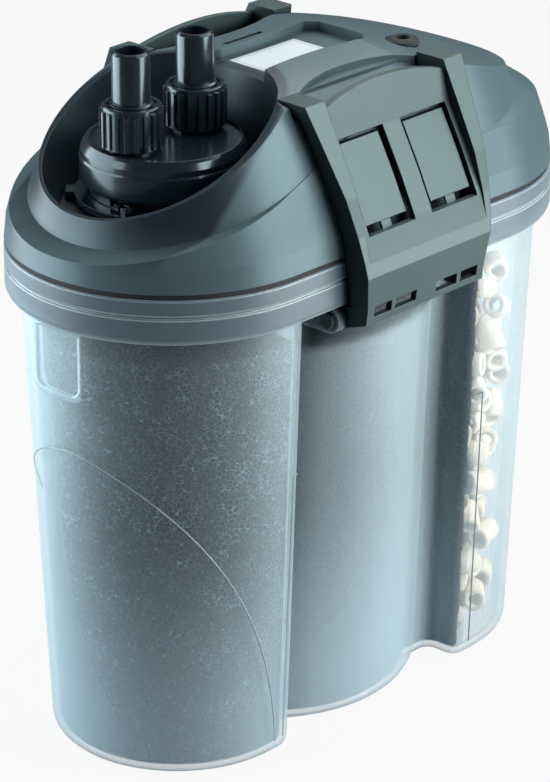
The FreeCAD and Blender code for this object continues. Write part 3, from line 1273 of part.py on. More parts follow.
def make_outlet_duct():
    """Channel under the head plate from the pump to the outlet port."""
    start = f"{OUTLET_X} - duct_width / 2"
    outer = doc.addObject("Part::Box", "duct_outer")
    outer.setExpression("Length", bind(f"pump_x - volute_radius + 4 - ({start})"))
    outer.setExpression("Width", bind("duct_width"))
    outer.setExpression("Height", bind("duct_depth"))
    place(outer, start, "-duct_width / 2", f"{SEAM} - duct_depth")
    inner = doc.addObject("Part::Box", "duct_inner")
    inner.setExpression("Length", bind(f"pump_x - volute_radius + 10 - ({start})"))
    inner.setExpression("Width", bind("duct_width - 2 * duct_wall"))
    inner.setExpression("Height", bind("duct_depth"))
    place(inner, f"{start} + duct_wall", "-duct_width / 2 + duct_wall", f"{SEAM} - duct_depth + duct_wall")
    bore = doc.addObject("Part::Cylinder", "duct_end")
    bore.setExpression("Radius", bind("volute_radius + 0.1"))
    bore.setExpression("Height", bind("duct_depth + 10"))
    place(bore, "pump_x", "0", f"{SEAM} - duct_depth - 5")
    channel = doc.addObject("Part::Cut", "duct_channel")
    channel.Base = outer
    channel.Tool = inner
    duct = doc.addObject("Part::Cut", "duct_fitted")
    duct.Base = channel
    duct.Tool = bore
    keep(duct, "outlet_duct")


def make_rotor_can():
    inner = "can_radius - can_wall"
    flange = "can_radius + can_flange"
    shoulder = "can_radius + can_shoulder"
    turned_body("rotor_can", [
        (inner, PLATE_TOP), (flange, PLATE_TOP), (flange, f"{PLATE_TOP} + can_flange_height"),
        (shoulder, f"{PLATE_TOP} + can_flange_height"), (shoulder, CORE_BASE), ("can_radius", CORE_BASE),
        ("can_radius", f"{CAN_TOP} - 1"), ("can_radius - 1", CAN_TOP), ("0", CAN_TOP),
        ("0", f"{CAN_TOP} - 1"), ("bush_radius + 0.05", f"{CAN_TOP} - 1"),
        ("bush_radius + 0.05", f"{CAN_TOP} - can_cap"), (inner, f"{CAN_TOP} - can_cap"),
    ], "pump_x")


def make_bushes():
    """Rubber bushes that hold the two ends of the ceramic shaft."""
    bore = "shaft_radius + 0.02"
    low = f"{VOLUTE_BASE} - volute_seal_height - volute_lid + 1.2"
    turned_body("lower_bush", [
        ("0", low), ("bush_radius", low), ("bush_radius", f"{VOLUTE_BASE} + 0.6"),
        (bore, f"{VOLUTE_BASE} + 0.6"),
        (bore, f"{low} + 1"), ("0", f"{low} + 1"),
    ], "pump_x")
    high = f"{CAN_TOP} - 1"
    turned_body("upper_bush", [
        ("0", high), ("bush_radius", high), ("bush_radius", f"{CAN_TOP} - can_cap + 0.2"),
        (bore, f"{CAN_TOP} - can_cap + 0.2"), (bore, f"{high} - 1"), ("0", f"{high} - 1"),
    ], "pump_x")
    shaft = doc.addObject("Part::Cylinder", "shaft_rod")
    shaft.setExpression("Radius", bind("shaft_radius"))
    shaft.setExpression("Height", bind(f"{high} - 1 - ({low} + 1)"))
    place(shaft, "pump_x", "0", f"{low} + 1")
    keep(shaft, "rotor_shaft")


def make_rotor():
    """Impeller with its stem, and the ring magnet that sits on the stem inside the can."""
    bore = "shaft_radius + shaft_clearance"
    low = f"{VOLUTE_BASE} + 2"
    back = f"{low} + impeller_height"
    seat = f"{PLATE_TOP} + 2"
    top = f"{CAN_TOP} - can_cap - 0.8"
    body = turned_body("impeller", [
        (bore, low), ("6", low), ("6", back), ("impeller_radius", back), ("impeller_radius", f"{back} + 1.5"),
        ("6", f"{back} + 1.5"), ("6", f"{seat} - 1"), ("10", f"{seat} - 1"), ("10", seat), ("6", seat),
        ("6", top), (bore, top),
    ], "pump_x")
    sketch = new_sketch(body, "blade_plan", "XY_Plane", low)
    add_outline(sketch, [
        ("5", "-0.8"), ("impeller_radius - 7", "-3.8"), ("impeller_radius - 1.2", "-8.6"),
        ("impeller_radius - 0.8", "-7.0"), ("impeller_radius - 7", "-2.2"), ("5", "0.8"),
    ])
    blade = pad(body, "blade", sketch, "impeller_height + 0.2")
    polar(body, "blades", blade, "blade_count")
    turned_body("rotor_magnet", ring_corners(
        "6.05", "can_radius - can_wall - rotor_gap", seat, f"{top} - 1"), "pump_x")


def make_stator():
    """U-shaped laminated core round the rotor can, with a coil on each leg."""
    body = new_body("stator_core", "pump_x")
    sketch = new_sketch(body, "core_plan", "XY_Plane", CORE_BASE)
    add_outline(sketch, [
        ("-core_back", "-leg_outer"), ("core_front", "-leg_outer"), ("core_front", "-leg_inner"),
        ("-core_back + core_yoke", "-leg_inner"), ("-core_back + core_yoke", "leg_inner"),
        ("core_front", "leg_inner"),
        ("core_front", "leg_outer"), ("-core_back", "leg_outer"),
    ])
    pad(body, "core", sketch, "core_height")
    bore = new_sketch(body, "pole_plan", "XY_Plane", f"{CORE_BASE} + core_height")
    add_circle(bore, "can_radius + core_gap")
    cut = pocket(body, "pole_bore", bore, "core_height")
    body.Tip = cut
    coils = []
    for name, side in (("coil_near", "-1"), ("coil_far", "1")):
        outer = doc.addObject("Part::Box", name + "_outer")
        outer.setExpression("Length", bind("coil_length"))
        outer.setExpression("Width", bind("leg_width + 2 * coil_depth"))
        outer.setExpression("Height", bind("core_height + 2 * coil_depth"))
        inner = doc.addObject("Part::Box", name + "_inner")
        inner.setExpression("Length", bind("coil_length + 2"))
        inner.setExpression("Width", bind("leg_width"))
        inner.setExpression("Height", bind("core_height"))
        start = "pump_x - core_back + core_yoke + coil_play"
        middle = f"{side} * (leg_inner + leg_outer) / 2"
        place(outer, start, f"{middle} - leg_width / 2 - coil_depth", f"{CORE_BASE} - coil_depth")
        place(inner, f"{start} - 1", f"{middle} - leg_width / 2", CORE_BASE)
        coil = doc.addObject("Part::Cut", name)
        coil.Base = outer
        coil.Tool = inner
        coils.append(coil)
    group("stator_coils", coils)


def make_gland_and_label():
    top = f"{CROWN} - gland_seat"
    turned_body("cord_gland", [
        ("cord_radius", f"{top} - 8"), ("gland_radius", f"{top} - 8"), ("gland_radius", top),
        ("gland_radius + gland_flange", top), ("gland_radius + gland_flange", f"{top} + 1.6"),
        ("gland_radius", f"{top} + 2.4"),
        ("cord_radius", f"{top} + 2.4"),
    ], "gland_x", "gland_y")
    label = doc.addObject("Part::Box", "label_plate")
    label.setExpression("Length", bind("label_length"))
    label.setExpression("Width", bind("label_width"))
    label.setExpression("Height", bind("label_height"))
    place(label, "-label_length / 2 - 1", "-label_width / 2", DECK)
    keep(label, "rating_label")


# ---------------------------------------------------------------- filter media


def chamber(x_low, x_high, z_high):
    """Everything inside the tub between two planes, down to its floor, clear of the wall."""
    floor = val("shell_wall")
    inside = lobed_solid(floor, z_high, -floor - val("media_gap"), val("floor_round") - floor)
    return inside.common(slab(x_low, x_high, -BEYOND, BEYOND, floor - 1, z_high + 1))


def make_dividers():
    floor, wall = val("shell_wall"), val("divider_wall")
    starts = {"front_divider": -val("front_divider_x") - wall, "rear_divider": val("rear_divider_x")}
    for name, x in starts.items():
        plate = chamber(x, x + wall, val("divider_top"))
        pitch, width = val("slot_pitch"), val("slot_width")
        count = int(2 * (val("slot_reach") // pitch) + 1)
        slots = []
        for index in range(count):
            middle = (index - (count - 1) / 2) * pitch
            slots.append(slab(x - 1, x + wall + 1, middle - width / 2, middle + width / 2,
                              floor + val("slot_rise"), floor + val("slot_rise") + val("slot_tall")))
        feature(name, plate.cut(slots))


def make_foams():
    """The coarse foam that fills the front lobe, and the fine one between the dividers."""
    gap, wall = val("media_gap"), val("divider_wall")
    front = val("lobe_offset") + val("top_radius")
    feature("prefilter_foam", chamber(-front, -val("front_divider_x") - wall - gap, val("media_top")))
    front, rear = -val("front_divider_x") + gap, val("rear_divider_x") - gap
    feature("filter_foam", chamber(front, rear, val("media_top")))


def ring_fits(x, y, half_x, half_y, z):
    """True if a ring's box at this place is inside the rear lobe."""
    lobe, gap = val("lobe_offset"), val("ring_gap")
    taper = (val("top_radius") - val("base_radius")) * z / val(FLANGE_BOTTOM)
    room = val("base_radius") + taper - val("shell_wall") - val("media_gap") - gap
    if x + half_x <= lobe:
        return abs(y) + half_y <= room
    return math.hypot(x + half_x - lobe, abs(y) + half_y) <= room


def make_ceramic_rings():
    """Short ceramic tubes in layers, turned by a quarter from one layer to the next."""
    outer, bore, length, gap = val("ring_radius"), val("ring_bore"), val("ring_length"), val("ring_gap")
    floor = val("shell_wall")
    x_low = val("rear_divider_x") + val("divider_wall") + gap
    rise = 2 * outer + gap
    rings = []
    for layer in range(int((val("media_top") - floor - gap) // rise)):
        z = floor + gap + outer + layer * rise
        along_x = layer % 2 == 1
        half_x, half_y = (length / 2, outer) if along_x else (outer, length / 2)
        low_edge = max(z - outer - (val("floor_round") - floor) * (layer == 0), floor)
        columns = int((val("top_radius") + val("lobe_offset") - x_low) // (2 * half_x + gap))
        rows = int(2 * val("top_radius") // (2 * half_y + gap))
        for column in range(columns):
            for row in range(rows):
                x = x_low + half_x + column * (2 * half_x + gap)
                y = (row - (rows - 1) / 2) * (2 * half_y + gap)
                margin = val("floor_round") - floor if layer == 0 else 0.0
                if not ring_fits(x, y, half_x + margin, half_y + margin, low_edge):
                    continue
                axis = Vector(1, 0, 0) if along_x else Vector(0, 1, 0)
                start = Vector(x, y, z) - axis * (length / 2)
                ring = Part.makeCylinder(outer, length, start, axis)
                rings.append(ring.cut(Part.makeCylinder(bore, length, start, axis)))
    feature("ceramic_noodles", Part.makeCompound(rings))


# ---------------------------------------------------------------- build and export


def build():
    fill_sheet()
    make_canister_shell()
    make_rim_gasket()
    make_latch_pins()
    make_latches()
    make_head_cover()
    make_head_plate()
    make_cover_screws()
    make_port_sleeves()
    make_adapter_body()
    make_adapter_top()
    make_release_collar()
    make_shutoff_disc()
    make_spigot_seals()
    make_hose_tails()
    make_tail_washers()
    make_union_nuts()
    make_volute()
    make_outlet_duct()
    make_rotor_can()
    make_bushes()
    make_rotor()
    make_stator()
    make_gland_and_label()
    make_dividers()
    make_foams()
    make_ceramic_rings()


def verify():
    """Stop when anything failed to rebuild, or a sub-part isn't a sound solid."""
    doc.recompute()
    for item in doc.Objects:
        if "Invalid" in item.State or "Error" in item.State:
            raise RuntimeError(f"{item.Label} did not rebuild: {item.State}")
    for item in nodes:
        if item.Shape.isNull() or not item.Shape.isValid() or not item.Shape.Solids:
            raise RuntimeError(f"{item.Label} is not a sound solid")


def export():
    os.makedirs("parts", exist_ok=True)
    for item in nodes:
        item.Shape.exportStep(f"parts/{item.Label}.step")


build()
verify()
export()
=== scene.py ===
"""Canister filter: finishes, soft media and studio, built around the packed CAD frame.

All sizes are in metres, in the frame's own axes. Run as a script; it is laid out as an add-on.
"""
import math
import random

import bmesh
import bpy
import numpy as np
from bpy.props import FloatProperty, FloatVectorProperty, IntProperty, PointerProperty
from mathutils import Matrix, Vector, noise


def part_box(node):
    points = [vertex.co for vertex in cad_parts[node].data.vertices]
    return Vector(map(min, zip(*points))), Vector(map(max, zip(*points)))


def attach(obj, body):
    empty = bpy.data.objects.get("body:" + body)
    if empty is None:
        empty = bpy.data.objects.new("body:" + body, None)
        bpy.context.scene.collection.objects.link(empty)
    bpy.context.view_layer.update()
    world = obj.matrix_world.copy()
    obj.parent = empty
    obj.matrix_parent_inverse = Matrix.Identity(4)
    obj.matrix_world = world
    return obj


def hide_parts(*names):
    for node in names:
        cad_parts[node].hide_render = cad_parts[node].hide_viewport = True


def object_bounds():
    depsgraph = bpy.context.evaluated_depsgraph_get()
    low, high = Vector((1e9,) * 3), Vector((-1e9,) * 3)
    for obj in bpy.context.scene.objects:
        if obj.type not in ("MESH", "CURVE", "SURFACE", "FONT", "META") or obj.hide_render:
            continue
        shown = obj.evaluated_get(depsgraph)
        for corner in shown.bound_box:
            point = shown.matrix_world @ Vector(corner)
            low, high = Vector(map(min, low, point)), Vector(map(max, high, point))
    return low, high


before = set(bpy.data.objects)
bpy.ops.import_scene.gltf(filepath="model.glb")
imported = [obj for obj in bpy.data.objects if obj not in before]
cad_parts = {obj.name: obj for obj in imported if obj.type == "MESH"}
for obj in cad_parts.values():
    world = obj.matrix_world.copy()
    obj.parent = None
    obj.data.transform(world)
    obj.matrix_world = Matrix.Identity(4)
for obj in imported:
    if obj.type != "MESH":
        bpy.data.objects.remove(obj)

bl_info = {
    "name": "Canister filter looks",
    "version": (1, 0),
    "blender": (4, 5, 0),
    "location": "View3D > Sidebar > Filter",
    "description": "Finishes, filter media and studio for a packed canister filter",
    "category": "Object",
}

CAD_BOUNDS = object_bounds()

# The two lobes of the tub stand on the axes x = -LOBE_X and x = LOBE_X.
LOBE_X = (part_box("rotor_shaft")[0].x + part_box("rotor_shaft")[1].x) / 2


# ---------------------------------------------------------------- shader maths


class Shade:
    """A socket of a node tree. Arithmetic on it adds Math nodes; node() adds any other node."""

    def __init__(self, tree, socket=None):
        self.tree = tree
        self.socket = socket

    def node(self, kind, settings=None, inputs=None, output=0):
        """Adds a node: its settings first, then its sockets' values or links."""
        made = self.tree.nodes.new("ShaderNode" + kind)
        for name, value in (settings or {}).items():
            setattr(made, name, value)
        for name, value in (inputs or {}).items():
            if isinstance(value, Shade):
                self.tree.links.new(value.socket, made.inputs[name])
            else:
                made.inputs[name].default_value = value
        return Shade(self.tree, made.outputs[output] if made.outputs else None)

    def maths(self, operation, first, second):
        return self.node("Math", {"operation": operation}, {0: first, 1: second})

    def __add__(self, other):
        return self.maths("ADD", self, other)

    def __radd__(self, other):
        return self.maths("ADD", other, self)

    def __sub__(self, other):
        return self.maths("SUBTRACT", self, other)

    def __rsub__(self, other):
        return self.maths("SUBTRACT", other, self)

    def __mul__(self, other):
        return self.maths("MULTIPLY", self, other)

    def __truediv__(self, other):
        return self.maths("DIVIDE", self, other)

    def __pow__(self, other):
        return self.maths("POWER", self, other)

    def __abs__(self):
        return self.maths("ABSOLUTE", self, 0.0)


def smooth(value, low, high):
    """0 below low and 1 above high, eased between them. low may be the larger one."""
    if low < high:
        return value.node("MapRange", {"interpolation_type": "SMOOTHSTEP"},
                          {"Value": value, "From Min": low, "From Max": high})
    return 1.0 - smooth(value, high, low)


def tinted(share, first, second):
    """First colour where share is 0, second where it is 1."""
    sides = [(*c, 1.0) if isinstance(c, tuple) else c for c in (first, second)]
    return share.node("Mix", {"data_type": "RGBA"}, {0: share, 6: sides[0], 7: sides[1]}, output=2)


def scaled(colour, factor):
    """A colour made brighter or darker, no channel above 1."""
    return tuple(min(channel * factor, 1.0) for channel in colour)


def clouds(place, size, detail=2.0):
    """Soft noise from 0 to 1 with features of that size."""
    return place.node("TexNoise", None, {"Vector": place, "Scale": 1.0 / size, "Detail": detail})


def stretched(place, factors):
    """The place with each axis scaled; a factor under 1 makes a texture longer along that axis."""
    return place.node("VectorMath", {"operation": "MULTIPLY"}, {0: place, 1: factors})


def axes(place):
    """The three coordinates of a place, as numbers."""
    parts = place.node("SeparateXYZ", None, {"Vector": place})
    outputs = parts.socket.node.outputs
    return [Shade(place.tree, outputs[index]) for index in range(3)]


def raised(height, depth, normal=None):
    """Normal of a surface that stands up by height times depth."""
    inputs = {"Height": height, "Distance": depth, "Strength": 1.0}
    if normal is not None:
        inputs["Normal"] = normal
    return height.node("Bump", None, inputs)


def start_material(name):
    """A new empty material, a Shade in its tree to add nodes from, and the place on the object."""
    material = bpy.data.materials.new(name)
    material.use_nodes = True
    material.node_tree.nodes.clear()
    start = Shade(material.node_tree)
    return material, start, start.node("TexCoord", output="Object")


def close_material(material, surface):
    """Gives the material its surface."""
    surface.node("OutputMaterial", None, {"Surface": surface})
    return material


def rounded_edges(start, radius):
    """Normal that rounds the edges, and a mask that is 1 along them."""
    rounded = start.node("Bevel", {"samples": 6}, {"Radius": radius})
    flat = start.node("NewGeometry", output="Normal")
    alike = start.node("VectorMath", {"operation": "DOT_PRODUCT"}, {0: rounded, 1: flat}, output="Value")
    return rounded, smooth(alike, 0.99, 0.86)


# ---------------------------------------------------------------- materials


def crevices(start, reach, closed=0.15, open_enough=0.7):
    """1 in the open, falling to 0 deep in slots and corners, where the callers paint shade black."""
    open_share = start.node("AmbientOcclusion", {"samples": 6}, {"Distance": reach}, output="AO")
    return smooth(open_share, closed, open_enough)


def blackened(share, surface):
    """The surface, turned to matt black painted shade where share is 1."""
    shade_black = share.node("BsdfDiffuse", None, {"Color": (0.002, 0.003, 0.004, 1.0)})
    return share.node("MixShader", None, {0: share, 1: surface, 2: shade_black})


def moulded_plastic(name, colour, roughness, grain=0.0005, depth=0.00003, radius=0.0005, shadow=None,
                    sides=0.0, sheen=(1.0, 1.0, 1.0)):
    """Moulded plastic: spark-eroded grain, faint flow marks, edges rubbed lighter and painted shade that
    turns crevices black.

    shadow gives a second, darker colour, painted as shade, and a function of the place that is 1 where
    it shows.
    sides is how far the faces that look along X are blackened as painted shade, and sheen tints the
    highlights.
    """
    edge_wear, grime, slot_reach = 0.25, 0.16, 0.009
    material, start, place = start_material(name)
    rounded, rim = rounded_edges(start, radius)
    flow = clouds(stretched(place, (1.0, 1.0, 0.45)), 0.03, 3.0)
    speck = clouds(place, grain, 1.0)
    base = tinted(flow, scaled(colour, 0.9), scaled(colour, 1.1))
    if shadow is not None:
        dark, where = shadow
        base = tinted(where(place), base, tinted(flow, scaled(dark, 0.9), scaled(dark, 1.1)))
    base = tinted(rim * edge_wear, base, scaled(colour, 1.7))
    base = tinted(speck * grime, base, scaled(colour, 0.45))
    rough = roughness + (flow - 0.5) * 0.1 + (speck - 0.5) * 0.12
    surface = start.node("BsdfPrincipled", None, {
        "Base Color": base, "Roughness": rough, "Normal": raised(speck, depth, rounded),
        "Specular Tint": (*sheen, 1.0),
    })
    # Painted shade: slots and crevices within slot_reach, and with sides the faces that look along X,
    # turn matt black.
    painted_shade_share = 1.0 - crevices(start, slot_reach, 0.15 + 0.15 * sides, 0.7 + 0.15 * sides)
    if sides > 0:
        along = abs(axes(start.node("NewGeometry", output="Normal"))[0])
        painted_shade_share = start.maths("MAXIMUM", painted_shade_share, smooth(along, 0.7, 0.95) * sides)
    return close_material(material, blackened(painted_shade_share, surface))


def gloss_plastic(name, colour, roughness, sheen):
    """Polished black plastic with faint wiping marks, a little dust and painted shade that blackens its
    slots.
    """
    slot_reach = 0.002
    material, start, place = start_material(name)
    rounded, rim = rounded_edges(start, 0.0004)
    wiping = clouds(stretched(place, (1.0, 1.0, 0.12)), 0.004, 4.0)
    dust = smooth(clouds(place, 0.0009, 2.0), 0.66, 0.74)
    base = tinted(rim * 0.3, colour, scaled(colour, 3.0))
    base = tinted(dust * 0.2, base, (0.05, 0.07, 0.085))
    rough = roughness + (wiping - 0.5) * 0.12 + dust * 0.2
    surface = start.node("BsdfPrincipled", None, {
        "Base Color": base, "Roughness": rough, "Normal": raised(wiping, 0.00002, rounded),
        "Coat Weight": 0.3, "Coat Roughness": 0.12, "Coat Tint": (*sheen, 1.0),
        "Specular Tint": (*sheen, 1.0),
    })
    # Painted shade: slots and corners within slot_reach turn matt black.
    return close_material(material, blackened(1.0 - crevices(start, slot_reach), surface))


def clear_plastic(settings):
    """Smoky see-through plastic: tinted, milky and glossy, denser in some zones.

    Each zone is a mask with its edges in metres: the rim band, the foot except under the rear lobe,
    the waist between the round ends, and the wall behind a latch, painted black as shade where the latch
    shades it.
    """
    material, start, place = start_material("clear_tub_plastic")
    x, y, z = axes(place)
    rounded, rim = rounded_edges(start, 0.0012)
    flow = clouds(stretched(place, (1.0, 1.0, 0.2)), 0.018, 3.0)
    band = smooth(z, 0.2125, 0.216)
    foot = smooth(z, 0.13, 0.0) * smooth(x, 0.07, 0.045)
    waist = smooth(x, -0.045, -0.03) * smooth(x, 0.05, 0.035)
    behind_latch = smooth(z, 0.184, 0.19) * smooth(abs(x), 0.044, 0.038) * smooth(abs(y), 0.03, 0.034)
    haze = settings.haze + band * settings.band_haze + foot * settings.foot_haze
    # Painted highlight: sharp edges get an extra milky share.
    haze = haze + rim * settings.edge_highlight_haze + waist * settings.waist_haze + (flow - 0.5) * 0.03
    milk = tinted(band, tuple(settings.milk), tuple(settings.band_colour))
    # Painted highlight: the milk is lighter along sharp edges.
    milk = tinted(rim * 0.6, milk, scaled(tuple(settings.milk), 1.3))
    milky = start.node("BsdfPrincipled", None, {"Base Color": milk, "Roughness": 0.3, "Normal": rounded})
    clear = start.node("BsdfTransparent", None, {"Color": (*settings.tint, 1.0)})
    body = start.node("MixShader", None, {0: haze, 1: clear, 2: milky})
    facing = start.node("LayerWeight", None, {"Blend": 0.5, "Normal": rounded}, output="Facing")
    gloss = settings.gloss + (facing ** 2.0) * settings.edge_gloss
    gloss = gloss * (1.0 - band * settings.band_dulling)
    mirror = start.node("BsdfGlossy", None, {
        "Color": (*settings.sheen, 1.0), "Roughness": settings.roughness, "Normal": rounded,
    })
    surface = start.node("MixShader", None, {0: gloss, 1: body, 2: mirror})
    # Painted shade: the wall behind a latch turns matt black where it is closed in.
    painted_shade_share = (1.0 - crevices(start, 0.06, 0.5, 1.0)) * behind_latch
    return close_material(material, blackened(painted_shade_share, surface))


def divider_plastic(settings):
    """Thin clear sheet with a faint milky cast."""
    material, start, place = start_material("divider_plastic")
    flow = clouds(place, 0.02, 3.0)
    colour = tuple(settings.divider_colour)
    milky = start.node("BsdfPrincipled", None, {
        "Base Color": tinted(flow, scaled(colour, 0.9), scaled(colour, 1.1)), "Roughness": 0.35,
    })
    clear = start.node("BsdfTransparent", None, {"Color": (0.93, 0.96, 0.97, 1.0)})
    haze = settings.divider_haze + (flow - 0.5) * 0.06
    return close_material(material, start.node("MixShader", None, {0: haze, 1: clear, 2: milky}))


def seal_rubber():
    """Black rubber with a grey bloom in patches."""
    material, start, place = start_material("seal_rubber")
    skin = clouds(place, 0.0006, 3.0)
    bloom = smooth(clouds(place, 0.008, 3.0), 0.5, 0.75)
    base = tinted(bloom * 0.5, (0.006, 0.009, 0.011), (0.02, 0.027, 0.031))
    surface = start.node("BsdfPrincipled", None, {
        "Base Color": base, "Roughness": 0.62 + skin * 0.2, "Normal": raised(skin, 0.00006),
    })
    return close_material(material, surface)


def brushed_steel():
    """Bright steel with fine marks along X."""
    material, start, place = start_material("pin_steel")
    drawn = clouds(stretched(place, (0.03, 1.0, 1.0)), 0.0003, 3.0)
    surface = start.node("BsdfPrincipled", None, {
        "Base Color": tinted(drawn, (0.42, 0.43, 0.44), (0.62, 0.62, 0.61)),
        "Metallic": 1.0, "Roughness": 0.22 + drawn * 0.2, "Normal": raised(drawn, 0.00001),
    })
    return close_material(material, surface)


def stacked_laminations():
    """Thin steel sheets stacked upwards, varnished, with rust freckles."""
    material, start, place = start_material("lamination")
    thickness = 0.00035
    sheet = start.maths("PINGPONG", axes(place)[2], thickness) / thickness
    rust = smooth(clouds(place, 0.003, 4.0), 0.58, 0.7)
    base = tinted(sheet, (0.06, 0.06, 0.065), (0.3, 0.3, 0.31))
    base = tinted(rust * 0.5, base, (0.22, 0.09, 0.035))
    surface = start.node("BsdfPrincipled", None, {
        "Base Color": base, "Metallic": 0.8 - rust * 0.6, "Roughness": 0.35 + rust * 0.3,
        "Normal": raised(sheet, 0.0001),
    })
    return close_material(material, surface)


def copper_windings():
    """Turns of enamelled wire laid side by side, with painted shade between the turns."""
    material, start, place = start_material("copper")
    wire_radius = 0.00022
    turn = start.maths("PINGPONG", axes(place)[0], wire_radius) / wire_radius
    heat = clouds(place, 0.01, 3.0)
    base = tinted(heat, (0.42, 0.13, 0.045), (0.62, 0.25, 0.09))
    # Painted shade: darker between the turns.
    base = tinted((1.0 - turn) * 0.6, base, (0.08, 0.02, 0.01))
    surface = start.node("BsdfPrincipled", None, {
        "Base Color": base, "Metallic": 0.85, "Roughness": 0.28 + heat * 0.1,
        "Normal": raised(turn, 0.0002), "Coat Weight": 0.6, "Coat Roughness": 0.1,
    })
    return close_material(material, surface)


def sintered(name, colour, speckle, grain, roughness):
    """Fired or pressed powder, such as ferrite or alumina, with fine specks."""
    material, start, place = start_material(name)
    rounded = rounded_edges(start, 0.0003)[0]
    speck = clouds(place, grain, 3.0)
    base = tinted(smooth(speck, 0.45, 0.68), colour, speckle)
    surface = start.node("BsdfPrincipled", None, {
        "Base Color": base, "Roughness": roughness + (speck - 0.5) * 0.2,
        "Normal": raised(speck, 0.00003, rounded),
    })
    return close_material(material, surface)


def open_cell_foam(name, settings, pore, web):
    """Dark foam: a fine net of paler pore walls, with painted shade in the pores and painted glints on
    some walls.
    """
    material, start, place = start_material(name)
    warp_scale, warp_reach = 0.7 / pore, (pore * 0.6,) * 3
    warp = place.node("TexNoise", None, {"Vector": place, "Scale": warp_scale, "Detail": 2.0},
                      output="Color")
    bent = place.node("VectorMath", {"operation": "MULTIPLY_ADD"}, {0: warp, 1: warp_reach, 2: place})
    wall = start.node("TexVoronoi", {"feature": "DISTANCE_TO_EDGE"},
                      {"Vector": bent, "Scale": 1.0 / pore})
    net = smooth(wall, 0.085, 0.02)
    patch = smooth(clouds(place, 0.012, 3.0), 0.36, 0.66)
    # Painted highlight: glints on some pore walls.
    painted_glint = smooth(clouds(place, pore * 1.3, 1.0), 0.55, 0.72)
    web_with_glints = tinted(painted_glint, web, scaled(web, 1.8))
    # The pores take a near-black colour: the foam's own dark colour and painted shade.
    base = tinted(net * (0.45 + patch * 0.55), tuple(settings.pore_colour_and_shade), web_with_glints)
    surface = start.node("BsdfPrincipled", None, {
        "Base Color": base, "Roughness": 0.75 - net * 0.35, "Normal": raised(net, pore * 0.35),
    })
    return close_material(material, surface)


def porous_ceramic(settings):
    """Cream ceramic: open pores darkened with painted shade, and each ring fired a little lighter or
    darker.
    """
    material, start, place = start_material("ceramic")
    tone = start.node("Attribute", {"attribute_name": "ring_tone"}, output="Fac")
    pit = start.node("TexVoronoi", None, {"Vector": place, "Scale": 1400.0}, output="Distance")
    pit_and_shade = smooth(pit, 0.3, 0.12)
    chalk = clouds(place, 0.0022, 4.0)
    colour = tuple(settings.ring_colour)
    base = tinted(tone, scaled(colour, 0.86), scaled(colour, 1.08))
    base = tinted(chalk * 0.3, base, (0.9, 0.86, 0.78))
    # Painted shade: the pits are darker.
    base = tinted(pit_and_shade * 0.5, base, (0.42, 0.36, 0.28))
    surface = start.node("BsdfPrincipled", None, {
        "Base Color": base, "Roughness": 0.9, "Normal": raised(chalk - pit_and_shade * 0.8, 0.0004),
    })
    return close_material(material, surface)


def blank_label(settings):
    """Silver-white foil with no print, a thin plain frame, and faint creases."""
    low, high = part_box("rating_label")
    material, start, place = start_material("label")
    x, y = axes(place)[:2]
    centre = (low + high) / 2
    half = (high - low) / 2
    inset = 0.0016
    from_side = (half.x - inset) - abs(x - centre.x)
    from_end = (half.y - inset) - abs(y - centre.y)
    to_edge = start.maths("MINIMUM", from_side, from_end)
    line = smooth(abs(to_edge), 0.00022, 0.00012)
    crease = clouds(stretched(place, (1.0, 0.25, 1.0)), 0.006, 4.0)
    foil = tinted(crease, scaled(tuple(settings.label_colour), 0.93), tuple(settings.label_colour))
    base = tinted(line * 0.75, foil, (0.1, 0.11, 0.12))
    surface = start.node("BsdfPrincipled", None, {
        "Base Color": base, "Metallic": 0.15, "Roughness": 0.3 + crease * 0.1,
        "Normal": raised(crease, 0.0001),
    })
    return close_material(material, surface)


# ---------------------------------------------------------------- mesh helpers


def dress(names, material):
    """Gives CAD nodes a material."""
    for name in names:
        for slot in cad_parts[name].material_slots:
            slot.material = material


def add_piece(name, mesh, body, material):
    """Makes a visual piece that rides on a CAD body."""
    piece = bpy.data.objects.new(name, mesh)
    bpy.context.scene.collection.objects.link(piece)
    mesh.materials.clear()
    mesh.materials.append(material)
    mesh.shade_smooth()
    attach(piece, body)
    return piece


def remeshed(mesh, voxel):
    """A copy of a closed mesh, rebuilt as an even grid of small faces."""
    carrier = bpy.data.objects.new("carrier", mesh)
    bpy.context.scene.collection.objects.link(carrier)
    modifier = carrier.modifiers.new("grid", "REMESH")
    modifier.mode = "VOXEL"
    modifier.voxel_size = voxel
    graph = bpy.context.evaluated_depsgraph_get()
    made = bpy.data.meshes.new_from_object(carrier.evaluated_get(graph))
    bpy.data.objects.remove(carrier)
    return made


def cad_solids(name):
    """The separate solids of a CAD node, each as a new mesh, from the lowest up."""
    source = bmesh.new()
    source.from_mesh(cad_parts[name].data)
    bmesh.ops.remove_doubles(source, verts=source.verts, dist=1e-6)
    left = set(source.verts)
    found = []
    while left:
        group = {left.pop()}
        edge = list(group)
        while edge:
            vert = edge.pop()
            for link in vert.link_edges:
                other = link.other_vert(vert)
                if other not in group:
                    group.add(other)
                    edge.append(other)
        left -= group
        found.append(group)
    meshes = []
    for group in sorted(found, key=lambda verts: min(v.co.z for v in verts)):
        part = bmesh.new()
        copies = {vert: part.verts.new(vert.co) for vert in group}
        for face in source.faces:
            if face.verts[0] in group:
                part.faces.new([copies[v] for v in face.verts])
        mesh = bpy.data.meshes.new(name)
        part.to_mesh(mesh)
        part.free()
        meshes.append(mesh)
    source.free()
    return meshes


